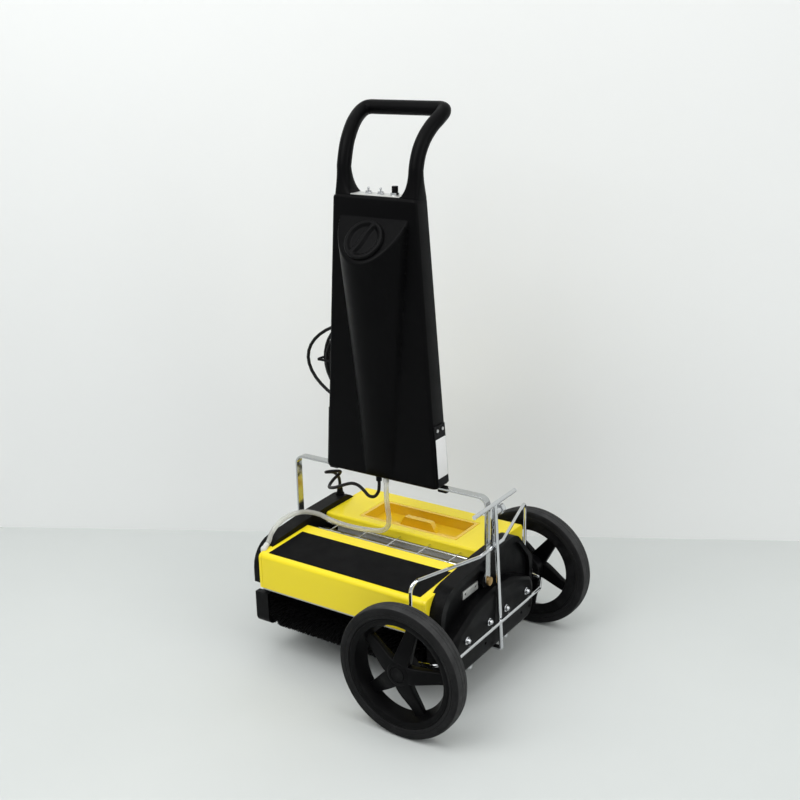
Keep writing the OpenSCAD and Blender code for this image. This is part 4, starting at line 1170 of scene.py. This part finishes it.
@dataclass
class Cords:
    """Water hose, link cable and the coiled mains cord.

    Attributes:
        hose_span: Points on the hose's route near the handle and near the body; not used.
        link_span: The same for the link cable; not used.
        coil: Middle of the coil across and in height, and its half width and half height.
        loose: How much wider the first loop hangs.
        pitch: Millimetres from one turn to the next.
        turns_in: Turns of one layer.
        climb: Turns that the step to the outer layer takes.
    """

    hose_route: Tuple[Point, ...] = (
        (9, -22, 440.5), (9, -22, 424), (8, -20, 400), (6, -14, 372), (2, -4, 342), (-8, 6, 315),
        (-30, 13, 296), (-62, 15, 288), (-100, 13, 285), (-145, 12, 285), (-185, 10, 290), (-214, 2, 301),
        (-238, -20, 310), (-250, -52, 313), (-254, -86, 311), (-252, -118, 304), (-247, -142, 296),
        (-239, -160, 288), (-236.2, -172, 283))
    link_route: Tuple[Point, ...] = (
        (-243, 132, 326.3), (-243, 132, 337), (-242, 126, 353), (-240, 106, 371), (-236, 80, 382),
        (-228, 57, 391), (-213, 43, 400), (-197, 46, 404), (-190, 64, 399), (-201, 77, 386),
        (-213, 64, 370), (-205, 38, 364), (-182, 20, 372), (-152, 6, 386), (-122, -5, 402),
        (-96, -13, 413), (-74, -18, 414), (-56, -21, 406), (-41, -22, 396), (-25, -22, 398),
        (-14, -22, 412), (-11, -22, 428), (-11, -22, 440.5))
    hose_span: Tuple[Point, Point] = ((9, -22, 430), (-60, 15, 287))
    link_span: Tuple[Point, Point] = ((-15, -22, 425), (-238, 110, 360))
    hose_d: float = 12.0
    link_d: float = 8.0
    cord_d: float = 8.0
    coil: Tuple[float, float, float, float] = (-94.0, 692.0, 122.0, 112.0)
    loose: float = 44.0
    pitch: float = 12.0
    turns_in: float = 3.25
    climb: float = 0.5
    near_y: float = 39.0
    layer: float = 10.5
    lead: float = 55.0
    tail: float = 62.0

    @staticmethod
    def length(path: Path) -> float:
        """Length of a path in metres."""
        return sum((path[i + 1] - path[i]).length for i in range(len(path) - 1))

    @staticmethod
    def tube(name: str, path: Path, diameter: float, finish: Finish) -> bpy.types.Object:
        """Cord mesh on a path.

        Args:
            name: Object's name.
            path: Centreline in metres.
            diameter: Diameter in millimetres.
            finish: Finish of the sheath.

        Returns:
            The object.
        """
        obj = Shape.mesh(name, *Shape.loft(Shape.rings(path, [diameter / 2000] * len(path), 16)))
        return dress(obj, finish)

    def build(self) -> None:
        """Makes the three cords."""
        self.crossing("hose_line", "water_hose", self.hose_route, self.hose_d, FINISH.hose)
        self.crossing("link_line", "link_cable", self.link_route[::-1], self.link_d, FINISH.cord)
        self.mains()

    def crossing(self, name: str, node: str, route: Sequence[Point], diameter: float, finish: Finish) -> None:
        """Makes a line that runs from the handle to the body.

        Args:
            name: Object's name.
            node: CAD node that it replaces.
            route: Points from the handle to the body, in millimetres.
            diameter: Diameter in millimetres.
            finish: Finish of the line.
        """
        path = Shape.smooth_path([at(*p) for p in route], 8)
        obj = self.tube(name, path, diameter, finish)
        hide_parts(node)
        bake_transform(obj)
        self.length(path)
        report(obj)

    def coil_point(self, t: float) -> Vector:
        """Point of the coil after some turns.

        Args:
            t: Turns from the start.

        Returns:
            The point in metres.
        """
        x, z, half_w, half_h = self.coil
        total = 2 * self.turns_in + self.climb
        shrink = self.pitch * min(t, self.turns_in, total - t)
        step = max(0.0, min(1.0, (t - self.turns_in) / self.climb))
        across = math.cos(2 * math.pi * t)
        slack = self.loose * min(0.0, across) ** 2 if t < 1 else 0.0
        return at(x + (half_w - shrink) * across - slack, self.near_y + self.layer * step,
                  z - (half_h - shrink) * math.sin(2 * math.pi * t))

    def mains(self) -> None:
        """Makes the coiled mains cord on the back of the handle."""
        x, z, half_w, _ = self.coil
        total = 2 * self.turns_in + self.climb
        end_x = x + half_w
        out_y = self.near_y + self.layer
        path = [at(end_x, self.near_y, z + self.lead * (1 - i / 6)) for i in range(6)]
        path += [self.coil_point(i / 40) for i in range(int(total * 40) + 1)]
        path += [at(end_x, out_y, z - self.tail * i / 6) for i in range(1, 7)]
        obj = self.tube("mains_line", path, self.cord_d, FINISH.cord)
        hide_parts("mains_cord")
        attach(obj, "handle")
        self.length(path)
        report(obj)


@dataclass(frozen=True)
class Lamp:
    """One square soft lamp.

    Attributes:
        name: Lamp's name.
        place: Where it hangs, in millimetres.
        aim: Where it points, in millimetres.
        size: Side in metres.
        watts: Power.
    """

    name: str
    place: Point
    aim: Point
    size: float
    watts: float

    def build(self) -> None:
        """Hangs the lamp and points it."""
        data = bpy.data.lights.new(self.name, "AREA")
        data.size = self.size
        data.energy = self.watts
        obj = bpy.data.objects.new(self.name, data)
        bpy.context.scene.collection.objects.link(obj)
        obj.location = at(*self.place)
        obj.rotation_euler = (at(*self.aim) - at(*self.place)).to_track_quat("-Z", "Y").to_euler()


@dataclass
class Studio:
    """Floor, wall, lights and camera.

    Attributes:
        eye: Camera's place in millimetres.
        frame_px: Width of the picture in pixels.
        focal_px: Focal length in those pixels.
        wall_a: One point of the wall's foot.
        wall_b: Another point of it.
        backdrop: Colour behind the floor in views that miss the wall.
        sky: Light from each height, as the sine of its angle and a colour.
    """

    eye: Point = (1452.5, -2105.6, 1465.0)
    azimuth: float = 33.9
    pitch: float = 18.0
    roll: float = -1.1
    sensor: float = 36.0
    frame_px: float = 800.0
    focal_px: float = 1170.8
    wall_a: Pair = (-1428.0, -43.0)
    wall_b: Pair = (679.0, 1119.0)
    wall_rise: float = 6.0
    floor_half: float = 7.0
    backdrop: Rgb = (0.62, 0.64, 0.635)
    sky: Tuple[Tuple[float, Rgb], ...] = (
        (0.0, (0.12, 0.124, 0.128)), (0.22, (0.15, 0.154, 0.158)), (0.42, (0.50, 0.51, 0.52)),
        (0.8, (0.95, 0.97, 0.98)))
    sky_strength: float = 0.95
    lamps: Tuple[Lamp, ...] = (
        Lamp("key", (-500, -2200, 2900), (0, 0, 500), 2.0, 46),
        Lamp("side", (2600, -300, 1800), (100, 0, 500), 1.6, 22),
        Lamp("top", (0, -600, 3200), (0, -100, 300), 2.6, 26))

    def camera(self) -> None:
        """Sets the camera at the photograph's place."""
        data = bpy.data.cameras.new("camera")
        data.sensor_width = self.sensor
        data.sensor_fit = "HORIZONTAL"
        data.lens = self.focal_px * self.sensor / self.frame_px
        data.clip_end = 60.0
        obj = bpy.data.objects.new("camera", data)
        bpy.context.scene.collection.objects.link(obj)
        az, pt, ro = (math.radians(v) for v in (self.azimuth, self.pitch, self.roll))
        ahead = Vector((-math.sin(az) * math.cos(pt), math.cos(az) * math.cos(pt), -math.sin(pt)))
        right = Vector((math.cos(az), math.sin(az), 0))
        up = right.cross(ahead)
        across = math.cos(ro) * right + math.sin(ro) * up
        above = -math.sin(ro) * right + math.cos(ro) * up
        turn = Matrix((across, above, -ahead)).transposed().to_4x4()
        obj.matrix_world = Matrix.Translation(at(*self.eye)) @ turn
        bpy.context.scene.camera = obj

    def stage(self) -> None:
        """Makes the pale floor and wall."""
        a, b = at(*self.wall_a, 0), at(*self.wall_b, 0)
        run = (b - a).normalized()
        far_a, far_b = a - run * self.wall_rise, b + run * self.wall_rise
        front = Vector((run.y, -run.x, 0)) * self.floor_half
        rise = Vector((0, 0, self.wall_rise))
        corners = [far_a - front, far_a + front, far_b + front, far_b - front]
        floor = Shape.mesh("floor", corners, [[0, 1, 2, 3]])
        floor.data.materials.append(FINISH.floor.material())
        wall = Shape.mesh("wall", [far_a, far_a + rise, far_b + rise, far_b], [[3, 2, 1, 0]])
        wall.data.materials.append(self.one_sided(FINISH.wall.material()))

    @staticmethod
    def one_sided(mat: bpy.types.Material) -> bpy.types.Material:
        """Lets the wall be seen through from its back, so that it hides nothing in views from behind.

        Args:
            mat: The wall's material.

        Returns:
            The same material.
        """
        nodes = Nodes(mat.node_tree)
        back = nodes.add("NewGeometry").outputs["Backfacing"]
        front = mat.node_tree.nodes["Principled BSDF"].outputs["BSDF"]
        clear = nodes.add("BsdfTransparent").outputs["BSDF"]
        mix = nodes.add("MixShader", {"Fac": back, 1: front, 2: clear})
        nodes.feed(mat.node_tree.nodes["Material Output"], {"Surface": mix.outputs["Shader"]})
        return mat

    def sky_colour(self, nodes: Nodes) -> Socket:
        """Light from above, fading to a dim horizon.

        Args:
            nodes: Maker for the world's tree.

        Returns:
            Socket with the colour.
        """
        ahead = nodes.add("TexCoord").outputs["Generated"]
        ramp = nodes.add("ValToRGB", {"Fac": nodes.add("SeparateXYZ", {"Vector": ahead}).outputs["Z"]})
        stops = ramp.color_ramp.elements
        for stop, (height, colour) in zip((stops[0], stops[1]), (self.sky[0], self.sky[-1])):
            stop.position = height
            stop.color = (*colour, 1)
        for height, colour in self.sky[1:-1]:
            stops.new(height).color = (*colour, 1)
        return ramp.outputs["Color"]

    @staticmethod
    def seen_rays(nodes: Nodes) -> Socket:
        """Whether a ray shows the backdrop, straight, in metal or through glass.

        Args:
            nodes: Maker for the world's tree.

        Returns:
            Socket with 1 for such rays.
        """
        rays = nodes.add("LightPath").outputs
        seen = rays["Is Camera Ray"]
        for kind in ("Is Glossy Ray", "Is Transmission Ray"):
            seen = nodes.add("Math", {0: seen, 1: rays[kind]}, operation="MAXIMUM").outputs["Value"]
        return seen

    def lights(self) -> None:
        """Sets soft studio light."""
        world = bpy.data.worlds.new("studio")
        world.use_nodes = True
        nodes = Nodes(world.node_tree)
        shown = nodes.mixed(self.seen_rays(nodes), self.sky_colour(nodes), (*self.backdrop, 1))
        nodes.feed(world.node_tree.nodes["Background"], {"Color": shown, "Strength": self.sky_strength})
        bpy.context.scene.world = world
        for lamp in self.lamps:
            lamp.build()

    def build(self) -> None:
        """Builds the whole studio."""
        self.camera()
        self.stage()
        self.lights()
        bpy.context.scene.view_settings.view_transform = "Standard"


def main() -> None:
    """Builds every sub-assembly in order."""
    logging.basicConfig(level=logging.INFO, format="%(message)s")
    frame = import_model()
    Studio().build()
    Cords().build()
    SolidDresser(frame).dress_all()
    WaterTank().build()
    FillerCap().build()
    Grip().build()
    Tyre("front_tyre_tread", "front_tyre", "wheel_front", -298.0).build()
    Tyre("rear_tyre_tread", "rear_tyre", "wheel_rear", 298.0).build()
    Wheel("front_wheel_form", "front_wheel", "wheel_front", -298.0, -1, 77.0).build()
    Wheel("rear_wheel_form", "rear_wheel", "wheel_rear", 298.0, 1, 90.0).build()
    ClampPads().build()
    Trim().build()
    CoverEnds().build()
    Brush("front_bristle_pack", "front_bristles", "brush_front", -128.0).build()
    Brush("rear_bristle_pack", "rear_bristles", "brush_rear", 150.0).build()


if __name__ == "__main__":
    main()
